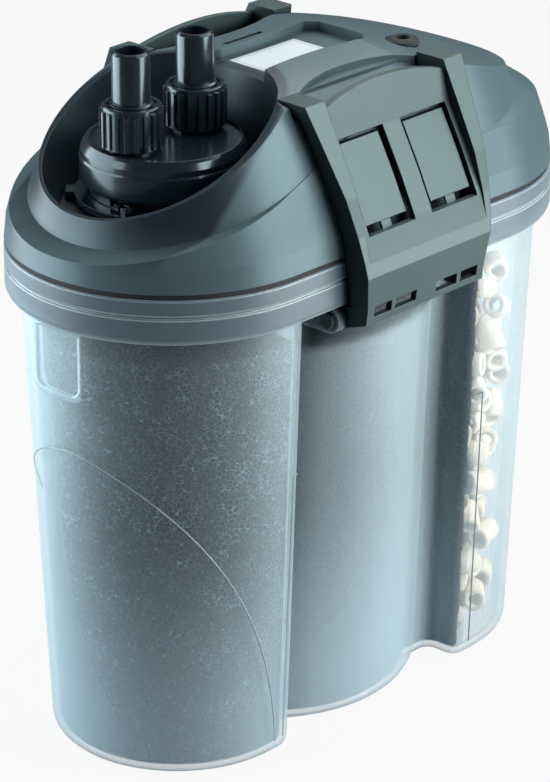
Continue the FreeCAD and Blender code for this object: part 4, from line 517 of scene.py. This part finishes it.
def join_meshes(name, parts):
    """One mesh from several parts, each a list of points, a list of faces and a tone."""
    points, faces, tones = [], [], []
    for part_points, part_faces, tone in parts:
        start = len(points)
        points.extend(part_points)
        tones.extend([tone] * len(part_points))
        faces.extend([tuple(start + index for index in face) for face in part_faces])
    mesh = bpy.data.meshes.new(name)
    mesh.from_pydata(points, [], faces)
    layer = mesh.attributes.new("ring_tone", "FLOAT", "POINT")
    layer.data.foreach_set("value", tones)
    mesh.update()
    return mesh


# ---------------------------------------------------------------- media


def pit_foam(mesh, pore, depth):
    """Sinks open pores into every face of a foam block."""
    points, normals = [], []
    for vert in mesh.vertices:
        points.append(vert.co.copy())
        normals.append(vert.normal.copy())
    for point, normal in zip(points, normals):
        distances = noise.voronoi(point / pore)[0]
        hollow = min((distances[1] - distances[0]) / 0.45, 1.0)
        rough = noise.noise(point / (pore * 2.7)) * 0.35 + 0.65
        point -= normal * (depth * hollow * hollow * rough)
    mesh.vertices.foreach_set("co", [value for point in points for value in point])
    mesh.update()


def on_lobe(shape, side, angle, z, lift=0.0):
    """A point on a round end, side -1 or 1, at an angle from the outermost point of that end."""
    reach = lobe_radius(shape, z) + lift
    return Vector((side * (LOBE_X + math.cos(angle) * reach), math.sin(angle) * reach, z))


def bead_lines(shape):
    """Paths of the fine moulded lines: an arch over the front lobe, upright lines on both lobes."""
    sink = -shape.bead * 0.4
    foot = shape.wall * 2
    arch = []
    steps = 96
    for index in range(steps + 1):
        share = 2 * index / steps - 1
        angle = math.copysign(1 - (1 - abs(share)) ** 2, share) * shape.arch_half
        rest = max(1 - abs(angle / shape.arch_half) ** shape.arch_power, 0.0)
        z = shape.arch_height * rest ** (1 / shape.arch_power)
        arch.append(on_lobe(shape, -1, angle, max(z, foot), sink))
    paths = [arch]
    for side, turn in ((-1, shape.panel_angle), (1, shape.rear_panel_angle)):
        for hand in (-1, 1):
            heights = [foot + (shape.panel_top - foot) * index / 8 for index in range(9)]
            upright = [on_lobe(shape, side, hand * turn, z, sink) for z in heights]
            tick_angles = [hand * (turn + math.radians(step)) for step in (1, 3)]
            tick = [on_lobe(shape, side, angle, shape.panel_top, sink) for angle in tick_angles]
            paths.append(upright + tick)
    return paths


def tube_mesh(name, paths, radius):
    """Round tubes along paths."""
    curve = bpy.data.curves.new(name, "CURVE")
    curve.dimensions = "3D"
    curve.bevel_depth = radius
    curve.bevel_resolution = 2
    curve.use_fill_caps = True
    for path in paths:
        spline = curve.splines.new("POLY")
        spline.points.add(len(path) - 1)
        for point, place in zip(spline.points, path):
            point.co = (*place, 1.0)
    holder = bpy.data.objects.new(name, curve)
    bpy.context.scene.collection.objects.link(holder)
    graph = bpy.context.evaluated_depsgraph_get()
    mesh = bpy.data.meshes.new_from_object(holder.evaluated_get(graph))
    bpy.data.objects.remove(holder)
    return mesh


def ring_shape(radius, bore, length, rng):
    """Points and faces of one ceramic ring about its own X axis, slightly oval and worn at its rims."""
    around = 18
    most_oval, most_lean, unevenness = 0.05, 0.08, 0.012
    wear = radius * 0.13
    half = length / 2
    profile = [
        (-half, bore + wear * 0.6), (-half, radius - wear), (-half + wear, radius),
        (half - wear, radius), (half, radius - wear), (half, bore + wear * 0.6),
        (half - wear * 0.7, bore), (-half + wear * 0.7, bore),
    ]
    oval = 1.0 + rng.uniform(-most_oval, most_oval)
    lean = rng.uniform(-most_lean, most_lean)
    points = []
    for index in range(around):
        angle = 2 * math.pi * index / around
        for x, reach in profile:
            bump = 1.0 + rng.uniform(-unevenness, unevenness)
            y = math.cos(angle) * reach * oval * bump
            z = math.sin(angle) * reach / oval * bump
            points.append(Vector((x + lean * y, y, z)))
    faces = []
    count = len(profile)
    for index in range(around):
        following = (index + 1) % around
        for step in range(count):
            after = (step + 1) % count
            faces.append((index * count + step, index * count + after, following * count + after,
                          following * count + step))
    return points, faces


def segment_gaps(start, end, starts, ends):
    """Shortest distance from one segment to each of many, by sampling both."""
    samples = 4
    shares = np.linspace(0.0, 1.0, samples)[:, None]
    own = start + (end - start) * shares
    others = starts[:, None, :] + (ends - starts)[:, None, :] * shares[None]
    gaps = np.linalg.norm(others[:, :, None, :] - own[None, None], axis=3)
    return gaps.min(axis=(1, 2))


def lobe_radius(shape, z):
    """Outer radius of the tub's round ends at a height."""
    return shape.foot_radius + (shape.flange_radius - shape.foot_radius) * z / shape.flange_height


def ring_places(settings, shape):
    """Random, close-packed places for the rings: each drops from above and rests on those below.

    Of several tries for each ring the one that comes to rest lowest is kept.
    """
    low_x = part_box("rear_divider")[1].x
    floor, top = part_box("ceramic_noodles")[0].z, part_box("ceramic_noodles")[1].z
    radius, length = settings.ring_radius, settings.ring_length
    rng = random.Random(settings.seed)
    tries = 26
    most, patience = 600, 10
    most_tilt, step = 0.95, radius * 0.16
    # Each ring counts as a core segment with this much room round it, so that neighbours nearly touch.
    reach = length / 2 - radius * 0.45
    clearance = radius * 1.93
    wall_room, divider_room = radius * 0.95, radius * 0.6
    starts, ends = np.empty((0, 3)), np.empty((0, 3))
    placed = []
    misses = 0
    while misses < patience and len(placed) < most:
        best = None
        for _ in range(tries):
            turn = rng.uniform(0, math.pi)
            tilt = rng.uniform(-most_tilt, most_tilt) ** 3
            flat = math.cos(tilt)
            axis = np.array([math.cos(turn) * flat, math.sin(turn) * flat, math.sin(tilt)])
            stand = radius + abs(axis[2]) * length / 2
            room = lobe_radius(shape, floor + stand) - shape.wall - radius
            x = rng.uniform(low_x + radius, LOBE_X + room)
            y = rng.uniform(-room, room)
            tips = [np.array([x, y, 0.0]) + axis * length / 2 * side for side in (-1, 1)]
            if any(tip[0] < low_x + divider_room for tip in tips):
                continue
            spread = max(math.hypot(max(tip[0] - LOBE_X, 0.0), tip[1]) for tip in tips)
            near = np.zeros(0, bool)
            if len(placed):
                middles = (starts[:, :2] + ends[:, :2]) / 2
                near = np.abs(middles - (x, y)).max(axis=1) < length + radius
            z = floor + stand
            if near.any():
                z = max(z, starts[near][:, 2].max(), ends[near][:, 2].max()) + 2 * radius + stand
                while z > floor + stand:
                    centre = np.array([x, y, z - step])
                    low_end, high_end = centre - axis * reach, centre + axis * reach
                    gaps = segment_gaps(low_end, high_end, starts[near], ends[near])
                    if gaps.min() < clearance:
                        break
                    z -= step
            if spread > lobe_radius(shape, z - stand) - shape.wall - wall_room:
                continue
            if z + stand < top and (best is None or z < best[1][2]):
                best = (axis, np.array([x, y, z]))
        if best is None:
            misses += 1
            continue
        axis, centre = best
        starts = np.vstack([starts, centre - axis * reach])
        ends = np.vstack([ends, centre + axis * reach])
        placed.append((Vector(axis), Vector(centre)))
    return placed


# ---------------------------------------------------------------- settings


def colour_setting(name, description, default):
    return FloatVectorProperty(name=name, description=description, default=default, subtype="COLOR",
                               size=3, min=0.0, max=1.0)


def length_setting(name, description, default):
    return FloatProperty(name=name, description=description, default=default, subtype="DISTANCE",
                         unit="LENGTH", precision=5)


def angle_setting(name, description, degrees):
    return FloatProperty(name=name, description=description, default=math.radians(degrees),
                         subtype="ANGLE", unit="ROTATION")


def share_setting(name, description, default):
    return FloatProperty(name=name, description=description, default=default, subtype="FACTOR",
                         min=0.0, max=1.0)


class TubFinish(bpy.types.PropertyGroup):
    """Finish of the see-through tub."""

    tint: colour_setting("Tint", "Light that one surface of the tub lets through", (0.95, 0.965, 0.97))
    milk: colour_setting("Milk", "Colour of the milky share of the tub", (0.6, 0.78, 0.88))
    sheen: colour_setting("Sheen", "Tint of the gloss on the tub", (0.78, 0.95, 1.0))
    band_colour: colour_setting("Band", "Milky colour of the thick rim band", (0.085, 0.125, 0.155))
    # Painted highlight: the pale colour of the moulded lines.
    line_highlight_colour: colour_setting("Lines", "Colour of the fine moulded lines", (0.3, 0.38, 0.42))
    haze: share_setting("Haze", "Milky share of each surface", 0.06)
    band_haze: share_setting("Band haze", "Extra milky share of the rim band", 0.84)
    foot_haze: share_setting("Foot haze", "Extra milky share of the foot", 0.2)
    waist_haze: share_setting("Waist haze", "Extra milky share between the round ends", 0.065)
    # Painted highlight: extra milkiness along sharp edges.
    edge_highlight_haze: share_setting("Edge haze", "Extra milky share along sharp edges", 0.35)
    gloss: share_setting("Gloss", "Share mirrored straight on", 0.015)
    edge_gloss: share_setting("Edge gloss", "Extra share mirrored at a glance", 0.6)
    band_dulling: share_setting("Band dulling", "Share of the gloss that the rim band loses", 0.7)
    roughness: share_setting("Roughness", "Roughness of the gloss on the tub", 0.5)


class TubShape(bpy.types.PropertyGroup):
    """Shape of the tub's round ends, and of the fine moulded lines on them."""

    foot_radius: length_setting("Foot radius", "Outer radius of a round end at the foot", 0.0575)
    flange_radius: length_setting("Flange radius", "Outer radius of a round end under the flange",
                                  0.0665)
    flange_height: length_setting("Flange height", "Foot to the underside of the flange", 0.213)
    wall: length_setting("Wall", "Wall of the tub and the clearance inside it", 0.0036)
    bead: length_setting("Bead", "Radius of the fine moulded lines", 0.00032)
    arch_height: length_setting("Arch height", "Top of the arch on the end of the front lobe", 0.153)
    arch_half: angle_setting("Arch half", "Half of the angle that the arch spans round the lobe", 92.6)
    arch_power: FloatProperty(name="Arch power", default=1.75,
                              description="2 for an ellipse, lower for a more pointed arch")
    panel_angle: angle_setting("Panel angle", "Angle of the upright lines round the front lobe", 98.2)
    rear_panel_angle: angle_setting("Rear panel angle", "Angle of the upright lines round the rear lobe",
                                    94.6)
    panel_top: length_setting("Panel top", "Top of the upright lines", 0.137)


class HeadFinish(bpy.types.PropertyGroup):
    """Finish of the head, its plate and the latches."""

    head_colour: colour_setting("Head", "Colour of the head", (0.06, 0.096, 0.11))
    # Painted shade: the darker colour of the recessed bowl and deck.
    bowl_shade_colour: colour_setting("Bowl", "Colour of the polished bowl and deck", (0.009, 0.015, 0.021))
    latch_colour: colour_setting("Latch", "Colour of the latches", (0.052, 0.08, 0.079))
    sheen: colour_setting("Sheen", "Tint of the highlights on the head", (0.62, 0.88, 1.0))
    latch_sheen: colour_setting("Latch sheen", "Tint of the highlights on the latches",
                                (0.52, 0.74, 0.74))
    roughness: share_setting("Roughness", "Roughness of the grained plastic", 0.36)
    grain: length_setting("Grain", "Size of the spark-eroded grain", 0.0006)
    label_colour: colour_setting("Label", "Colour of the blank label", (0.62, 0.7, 0.72))


class AdapterFinish(bpy.types.PropertyGroup):
    """Finish of the hose adapter, its tails and nuts."""

    colour: colour_setting("Colour", "Polished black plastic", (0.009, 0.014, 0.018))
    sheen: colour_setting("Sheen", "Tint of the highlights", (0.66, 0.9, 1.0))
    roughness: share_setting("Roughness", "Roughness of the polished plastic", 0.2)


class InnerFinish(bpy.types.PropertyGroup):
    """Finish of the pump and of what holds the media."""

    pump_colour: colour_setting("Pump", "Plastic of the pump parts", (0.05, 0.055, 0.06))
    impeller_colour: colour_setting("Impeller", "Plastic of the impeller and sleeves",
                                    (0.55, 0.56, 0.55))
    divider_colour: colour_setting("Dividers", "Milky cast of the dividers", (0.35, 0.44, 0.47))
    divider_haze: share_setting("Divider haze", "Milky share of the dividers", 0.12)


class MediaFinish(bpy.types.PropertyGroup):
    """Foams and ceramic rings."""

    # Painted shade, with the foam's own dark colour, inside the foam's pores.
    pore_colour_and_shade: colour_setting("Foam", "Colour inside the foam's pores", (0.002, 0.005, 0.009))
    web_colour: colour_setting("Foam net", "Colour of the foam's pore walls", (0.2, 0.33, 0.4))
    fine_web_colour: colour_setting("Fine net", "Colour of the fine foam's pore walls",
                                    (0.035, 0.06, 0.08))
    pore_size: length_setting("Coarse pores", "Width of one pore of the coarse foam", 0.0022)
    fine_pore_size: length_setting("Fine pores", "Width of one pore of the fine foam", 0.0015)
    pore_depth: share_setting("Pore depth", "Depth of the cut pores as a share of their width", 0.42)
    foam_grid: length_setting("Coarse foam grid", "Face size of the coarse foam's mesh", 0.0011)
    fine_foam_grid: length_setting("Fine foam grid", "Face size of the fine foam's mesh", 0.0014)
    ring_colour: colour_setting("Rings", "Colour of the ceramic rings", (0.86, 0.67, 0.48))
    ring_radius: length_setting("Ring radius", "Outer radius of a ceramic ring", 0.006)
    ring_bore: length_setting("Ring bore", "Inner radius of a ceramic ring", 0.003)
    ring_length: length_setting("Ring length", "Length of a ceramic ring", 0.014)
    seed: IntProperty(name="Seed", description="Changes how the rings fall", default=11, min=0)


class StudioSettings(bpy.types.PropertyGroup):
    """Camera, floor and lamps."""

    azimuth: angle_setting("Azimuth", "Side that the camera looks from", -46.54)
    elevation: angle_setting("Elevation", "Height of the camera over the horizon", 23.68)
    distance: length_setting("Distance", "Camera to the point that it looks at", 1.6554)
    lens: FloatProperty(name="Lens", description="Focal length", default=168.35, unit="CAMERA")
    key: FloatProperty(name="Key", default=8.5,
                       description="Brightness of the two soft lamps on the near side")
    side: FloatProperty(name="Side", description="Brightness of the two soft lamps on the left",
                        default=5.0)
    top: FloatProperty(name="Top", description="Brightness of the soft lamp overhead", default=3.0)
    fill: share_setting("Fill", "Strength of the light from all round", 0.12)
    floor_colour: colour_setting("Floor", "Colour of the floor", (0.28, 0.29, 0.3))
    floor_glow: share_setting("Floor glow", "Share of the floor that is plain white to the camera", 0.92)


# ---------------------------------------------------------------- pieces


class FILTER_OT_finish_tub(bpy.types.Operator):
    """Gives the tub its see-through plastic"""

    bl_idname = "filter_looks.finish_tub"
    bl_label = "Finish tub"

    def execute(self, context):
        dress(["canister_shell"], clear_plastic(context.scene.filter_tub))
        return {"FINISHED"}


class FILTER_OT_build_lines(bpy.types.Operator):
    """Builds the fine moulded lines on the outside of the tub, pale as a painted highlight"""

    bl_idname = "filter_looks.build_lines"
    bl_label = "Build moulded lines"

    def execute(self, context):
        shape = context.scene.filter_shape
        mesh = tube_mesh("tub_lines", bead_lines(shape), shape.bead)
        # Painted highlight: the moulded lines are pale, as they catch the light.
        pale = moulded_plastic("tub_line_highlight", tuple(context.scene.filter_tub.line_highlight_colour), 0.25)
        add_piece("tub_lines", mesh, "housing", pale)
        return {"FINISHED"}


class FILTER_OT_finish_head(bpy.types.Operator):
    """Gives the head and its plate their grained plastic"""

    bl_idname = "filter_looks.finish_head"
    bl_label = "Finish head"

    def execute(self, context):
        settings = context.scene.filter_head
        low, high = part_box("adapter_body")
        centre = (low + high) / 2

        def recessed(place):
            """1 inside the oval bowl and on the deck behind it, where the head gets painted shade."""
            x, y, z = axes(place)
            half_length, half_width, shift = 0.066, 0.056, -0.012
            lift = smooth(z, low.z - 0.004, low.z + 0.02)
            along = (x - (centre.x + shift)) / half_length
            across = y / half_width
            oval = smooth(along * along + across * across, 1.04, 0.96)
            return oval * lift

        # Painted shade: the bowl and the deck behind it take the darker bowl colour.
        head = moulded_plastic("head_plastic", tuple(settings.head_colour), settings.roughness,
                               settings.grain, 0.00005, shadow=(tuple(settings.bowl_shade_colour), recessed),
                               sheen=tuple(settings.sheen))
        dress(["head_cover", "head_plate"], head)
        return {"FINISHED"}


class FILTER_OT_finish_latches(bpy.types.Operator):
    """Gives the latches their lighter grained plastic, their pins black plastic and the screws steel"""

    bl_idname = "filter_looks.finish_latches"
    bl_label = "Finish latches"

    def execute(self, context):
        settings = context.scene.filter_head
        # Painted shade: sides=0.6 blackens the latch faces that look along X.
        latch = moulded_plastic("latch_plastic", tuple(settings.latch_colour), settings.roughness * 0.9,
                                settings.grain, 0.00003, radius=0.0006, sides=0.6,
                                sheen=tuple(settings.latch_sheen))
        pin = moulded_plastic("pin_plastic", (0.02, 0.025, 0.028), 0.3)
        dress(["latch_near", "latch_far"], latch)
        dress(["latch_pins_near", "latch_pins_far"], pin)
        dress(["cover_screws"], brushed_steel())
        return {"FINISHED"}


class FILTER_OT_finish_adapter(bpy.types.Operator):
    """Gives the hose adapter, tails, nuts and release collar their polished black plastic"""

    bl_idname = "filter_looks.finish_adapter"
    bl_label = "Finish adapter"

    def execute(self, context):
        settings = context.scene.filter_adapter
        colour, sheen = tuple(settings.colour), tuple(settings.sheen)
        black = gloss_plastic("adapter_plastic", colour, settings.roughness, sheen)
        dress(["adapter_body", "adapter_top", "hose_tail_inlet", "hose_tail_outlet", "union_nut_inlet",
               "union_nut_outlet", "release_collar", "shutoff_disc"], black)
        return {"FINISHED"}


class FILTER_OT_finish_seals(bpy.types.Operator):
    """Gives gaskets, rings, washers, bushes and the cord gland their rubber"""

    bl_idname = "filter_looks.finish_seals"
    bl_label = "Finish seals"

    def execute(self, context):
        dress(["rim_gasket", "port_orings", "tail_washers", "volute_seal", "lower_bush", "upper_bush",
               "cord_gland"], seal_rubber())
        return {"FINISHED"}


class FILTER_OT_finish_pump(bpy.types.Operator):
    """Gives the pump its plastics, laminations, copper, magnet and ceramic shaft"""

    bl_idname = "filter_looks.finish_pump"
    bl_label = "Finish pump"

    def execute(self, context):
        settings = context.scene.filter_inner
        dark = moulded_plastic("pump_plastic", tuple(settings.pump_colour), 0.4)
        pale = moulded_plastic("impeller_plastic", tuple(settings.impeller_colour), 0.35)
        dress(["pump_volute", "volute_cover", "outlet_duct", "rotor_can"], dark)
        dress(["impeller", "inlet_sleeve", "outlet_sleeve"], pale)
        dress(["stator_core"], stacked_laminations())
        dress(["stator_coils"], copper_windings())
        ferrite = sintered("magnet", (0.035, 0.035, 0.04), (0.11, 0.11, 0.12), 0.0005, 0.5)
        alumina = sintered("ceramic_shaft", (0.82, 0.8, 0.75), (0.7, 0.68, 0.63), 0.0008, 0.25)
        dress(["rotor_magnet"], ferrite)
        dress(["rotor_shaft"], alumina)
        return {"FINISHED"}


class FILTER_OT_finish_dividers(bpy.types.Operator):
    """Gives the dividers between the chambers their see-through plastic"""

    bl_idname = "filter_looks.finish_dividers"
    bl_label = "Finish dividers"

    def execute(self, context):
        settings = context.scene.filter_inner
        dress(["front_divider", "rear_divider"], divider_plastic(settings))
        return {"FINISHED"}


class FILTER_OT_finish_label(bpy.types.Operator):
    """Gives the blank label its foil"""

    bl_idname = "filter_looks.finish_label"
    bl_label = "Finish label"

    def execute(self, context):
        dress(["rating_label"], blank_label(context.scene.filter_head))
        return {"FINISHED"}


class FILTER_OT_build_foam(bpy.types.Operator):
    """Builds the coarse foam of the front lobe and the fine foam between the dividers"""

    bl_idname = "filter_looks.build_foam"
    bl_label = "Build foam"

    def execute(self, context):
        settings = context.scene.filter_media
        depth = settings.pore_depth
        pore, web = settings.pore_size, tuple(settings.web_colour)
        coarse = open_cell_foam("coarse_foam", settings, pore, web)
        fine_pore, fine_web = settings.fine_pore_size, tuple(settings.fine_web_colour)
        fine = open_cell_foam("fine_foam", settings, fine_pore, fine_web)
        self.build("coarse_foam", "prefilter_foam", settings.foam_grid, pore, depth, coarse)
        self.build("fine_foam", "filter_foam", settings.fine_foam_grid, fine_pore, depth, fine)
        return {"FINISHED"}

    def build(self, name, node, grid, pore, depth, material):
        """Replaces a CAD foam block by one with pores cut into it."""
        coarser = 1.0
        mesh = remeshed(cad_solids(node)[0], grid * coarser)
        pit_foam(mesh, pore, pore * depth)
        foam = add_piece(name, mesh, "housing", material)
        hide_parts(node)


class FILTER_OT_build_rings(bpy.types.Operator):
    """Fills the rear chamber with loose ceramic rings"""

    bl_idname = "filter_looks.build_rings"
    bl_label = "Build ceramic rings"

    def execute(self, context):
        settings = context.scene.filter_media
        rng = random.Random(settings.seed + 1)
        shortest, slimming = 0.93, 0.97
        parts = []
        for axis, centre in ring_places(settings, context.scene.filter_shape):
            turn = Vector((1, 0, 0)).rotation_difference(axis)
            length = settings.ring_length * rng.uniform(shortest, 1.0)
            points, faces = ring_shape(settings.ring_radius * slimming, settings.ring_bore, length, rng)
            parts.append(([turn @ point + centre for point in points], faces, rng.random()))
        print("ceramic rings:", len(parts))
        mesh = join_meshes("loose_rings", parts)
        rings = add_piece("loose_rings", mesh, "housing", porous_ceramic(settings))
        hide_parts("ceramic_noodles")
        return {"FINISHED"}


# ---------------------------------------------------------------- studio


def toward(azimuth, elevation):
    """Unit vector from the object to a place around it. Azimuth 0 is the -Y side, 90 degrees +X."""
    return Vector((math.sin(azimuth) * math.cos(elevation), -math.cos(azimuth) * math.cos(elevation),
                   math.sin(elevation)))


def soft_box(name, azimuth, rise, distance, width, height, brightness, colour=(1, 1, 1)):
    """A rectangular lamp beside the object, aimed at its middle, that shines with that radiance.

    The azimuth is in degrees, as in toward(); rise is the lamp's height over the floor.
    """
    centre = (CAD_BOUNDS[0] + CAD_BOUNDS[1]) / 2
    lamp = bpy.data.lights.new(name, "AREA")
    lamp.shape = "RECTANGLE"
    lamp.size, lamp.size_y = width, height
    lamp.energy = brightness * width * height * math.pi
    lamp.color = colour
    holder = bpy.data.objects.new(name, lamp)
    place = toward(math.radians(azimuth), 0.0) * distance + Vector((0, 0, rise))
    holder.location = Vector((centre.x, centre.y, 0.0)) + place
    back = (holder.location - centre).normalized()
    holder.rotation_euler = back.to_track_quat("Z", "Y").to_euler()
    bpy.context.scene.collection.objects.link(holder)


def seen_directly(start):
    """1 for rays that show the background: straight from the camera and through clear plastic."""
    rays = start.node("LightPath").socket.node.outputs
    total = Shade(start.tree, rays["Is Camera Ray"]) + Shade(start.tree, rays["Is Transmission Ray"])
    return total.node("Clamp", None, {"Value": total})


def make_world(strength):
    """White background, with only a dim cool light from all round."""
    world = bpy.data.worlds.new("studio")
    world.use_nodes = True
    world.node_tree.nodes.clear()
    start = Shade(world.node_tree)
    white = start.node("Background", None, {"Color": (1, 1, 1, 1), "Strength": 1.0})
    dim = start.node("Background", None, {"Color": (0.8, 0.9, 1.0, 1), "Strength": strength})
    mixed = start.node("MixShader", None, {0: seen_directly(start), 1: dim, 2: white})
    start.node("OutputWorld", None, {"Surface": mixed})
    bpy.context.scene.world = world


def make_floor(settings):
    """Plain pale floor that keeps the object's shadow."""
    mesh = bpy.data.meshes.new("floor")
    grid = bmesh.new()
    bmesh.ops.create_grid(grid, x_segments=1, y_segments=1, size=6.0)
    grid.to_mesh(mesh)
    grid.free()
    floor = bpy.data.objects.new("floor", mesh)
    floor.location.z = CAD_BOUNDS[0].z
    bpy.context.scene.collection.objects.link(floor)
    material, start = start_material("floor")[:2]
    matt = start.node("BsdfDiffuse", None, {"Color": (*settings.floor_colour, 1)})
    glow = start.node("Emission", None, {"Color": (1, 1, 1, 1), "Strength": 1.0})
    share = seen_directly(start) * settings.floor_glow
    surface = start.node("MixShader", None, {0: share, 1: matt, 2: glow})
    mesh.materials.append(close_material(material, surface))


def make_camera(settings):
    """A long lens aimed just below the middle of the object."""
    aim_shift = Vector((-0.0093, -0.0027, -0.0193))
    aim = (CAD_BOUNDS[0] + CAD_BOUNDS[1]) / 2 + aim_shift
    lens = bpy.data.cameras.new("camera")
    lens.lens = settings.lens
    lens.sensor_width = 36.0
    camera = bpy.data.objects.new("camera", lens)
    back = toward(settings.azimuth, settings.elevation)
    camera.location = aim + back * settings.distance
    camera.rotation_euler = (-back).to_track_quat("-Z", "Y").to_euler()
    bpy.context.scene.collection.objects.link(camera)
    bpy.context.scene.camera = camera


class FILTER_OT_build_studio(bpy.types.Operator):
    """Sets up the floor, background, lamps and camera"""

    bl_idname = "filter_looks.build_studio"
    bl_label = "Build studio"

    def execute(self, context):
        settings = context.scene.filter_studio
        context.scene.view_settings.view_transform = "Standard"
        make_world(settings.fill)
        make_floor(settings)
        cool = (0.88, 0.95, 1.0)
        soft_box("key_high", azimuth=26, rise=0.6, distance=0.8, width=0.7, height=0.55,
                 brightness=settings.key)
        soft_box("key_low", azimuth=28, rise=0.12, distance=0.75, width=0.6, height=0.26,
                 brightness=settings.key)
        soft_box("side", azimuth=-138, rise=0.4, distance=0.8, width=1.0, height=0.85,
                 brightness=settings.side, colour=cool)
        soft_box("side_low", azimuth=-140, rise=0.1, distance=0.75, width=0.75, height=0.2,
                 brightness=settings.side * 0.6, colour=cool)
        soft_box("top", azimuth=100, rise=0.9, distance=0.35, width=0.8, height=0.8,
                 brightness=settings.top)
        make_camera(settings)
        return {"FINISHED"}


class FILTER_PT_looks(bpy.types.Panel):
    """Finishes and pieces of the canister filter"""

    bl_idname = "FILTER_PT_looks"
    bl_label = "Canister filter"
    bl_space_type = "VIEW_3D"
    bl_region_type = "UI"
    bl_category = "Filter"

    def draw(self, context):
        for operator in OPERATORS:
            self.layout.operator(operator.bl_idname)
        for pointer, group in SETTINGS.items():
            box = self.layout.box()
            box.label(text=group.__doc__)
            for name in group.__annotations__:
                box.prop(getattr(context.scene, pointer), name)


SETTINGS = {
    "filter_shape": TubShape,
    "filter_tub": TubFinish,
    "filter_head": HeadFinish,
    "filter_adapter": AdapterFinish,
    "filter_inner": InnerFinish,
    "filter_media": MediaFinish,
    "filter_studio": StudioSettings,
}
OPERATORS = [
    FILTER_OT_finish_tub,
    FILTER_OT_build_lines,
    FILTER_OT_finish_head,
    FILTER_OT_finish_latches,
    FILTER_OT_finish_adapter,
    FILTER_OT_finish_seals,
    FILTER_OT_finish_pump,
    FILTER_OT_finish_dividers,
    FILTER_OT_finish_label,
    FILTER_OT_build_foam,
    FILTER_OT_build_rings,
    FILTER_OT_build_studio,
]


def register():
    """Registers the settings, operators and panel."""
    for cls in [*SETTINGS.values(), *OPERATORS, FILTER_PT_looks]:
        bpy.utils.register_class(cls)
    for name, group in SETTINGS.items():
        setattr(bpy.types.Scene, name, PointerProperty(type=group))


def unregister():
    """Takes away what register() added."""
    for name in SETTINGS:
        delattr(bpy.types.Scene, name)
    for cls in reversed([*SETTINGS.values(), *OPERATORS, FILTER_PT_looks]):
        bpy.utils.unregister_class(cls)


def main():
    """Builds everything in order."""
    register()
    looks = bpy.ops.filter_looks
    looks.finish_tub()
    looks.build_lines()
    looks.finish_head()
    looks.finish_latches()
    looks.finish_adapter()
    looks.finish_seals()
    looks.finish_pump()
    looks.finish_dividers()
    looks.finish_label()
    looks.build_foam()
    looks.build_rings()
    looks.build_studio()


if __name__ == "__main__":
    main()
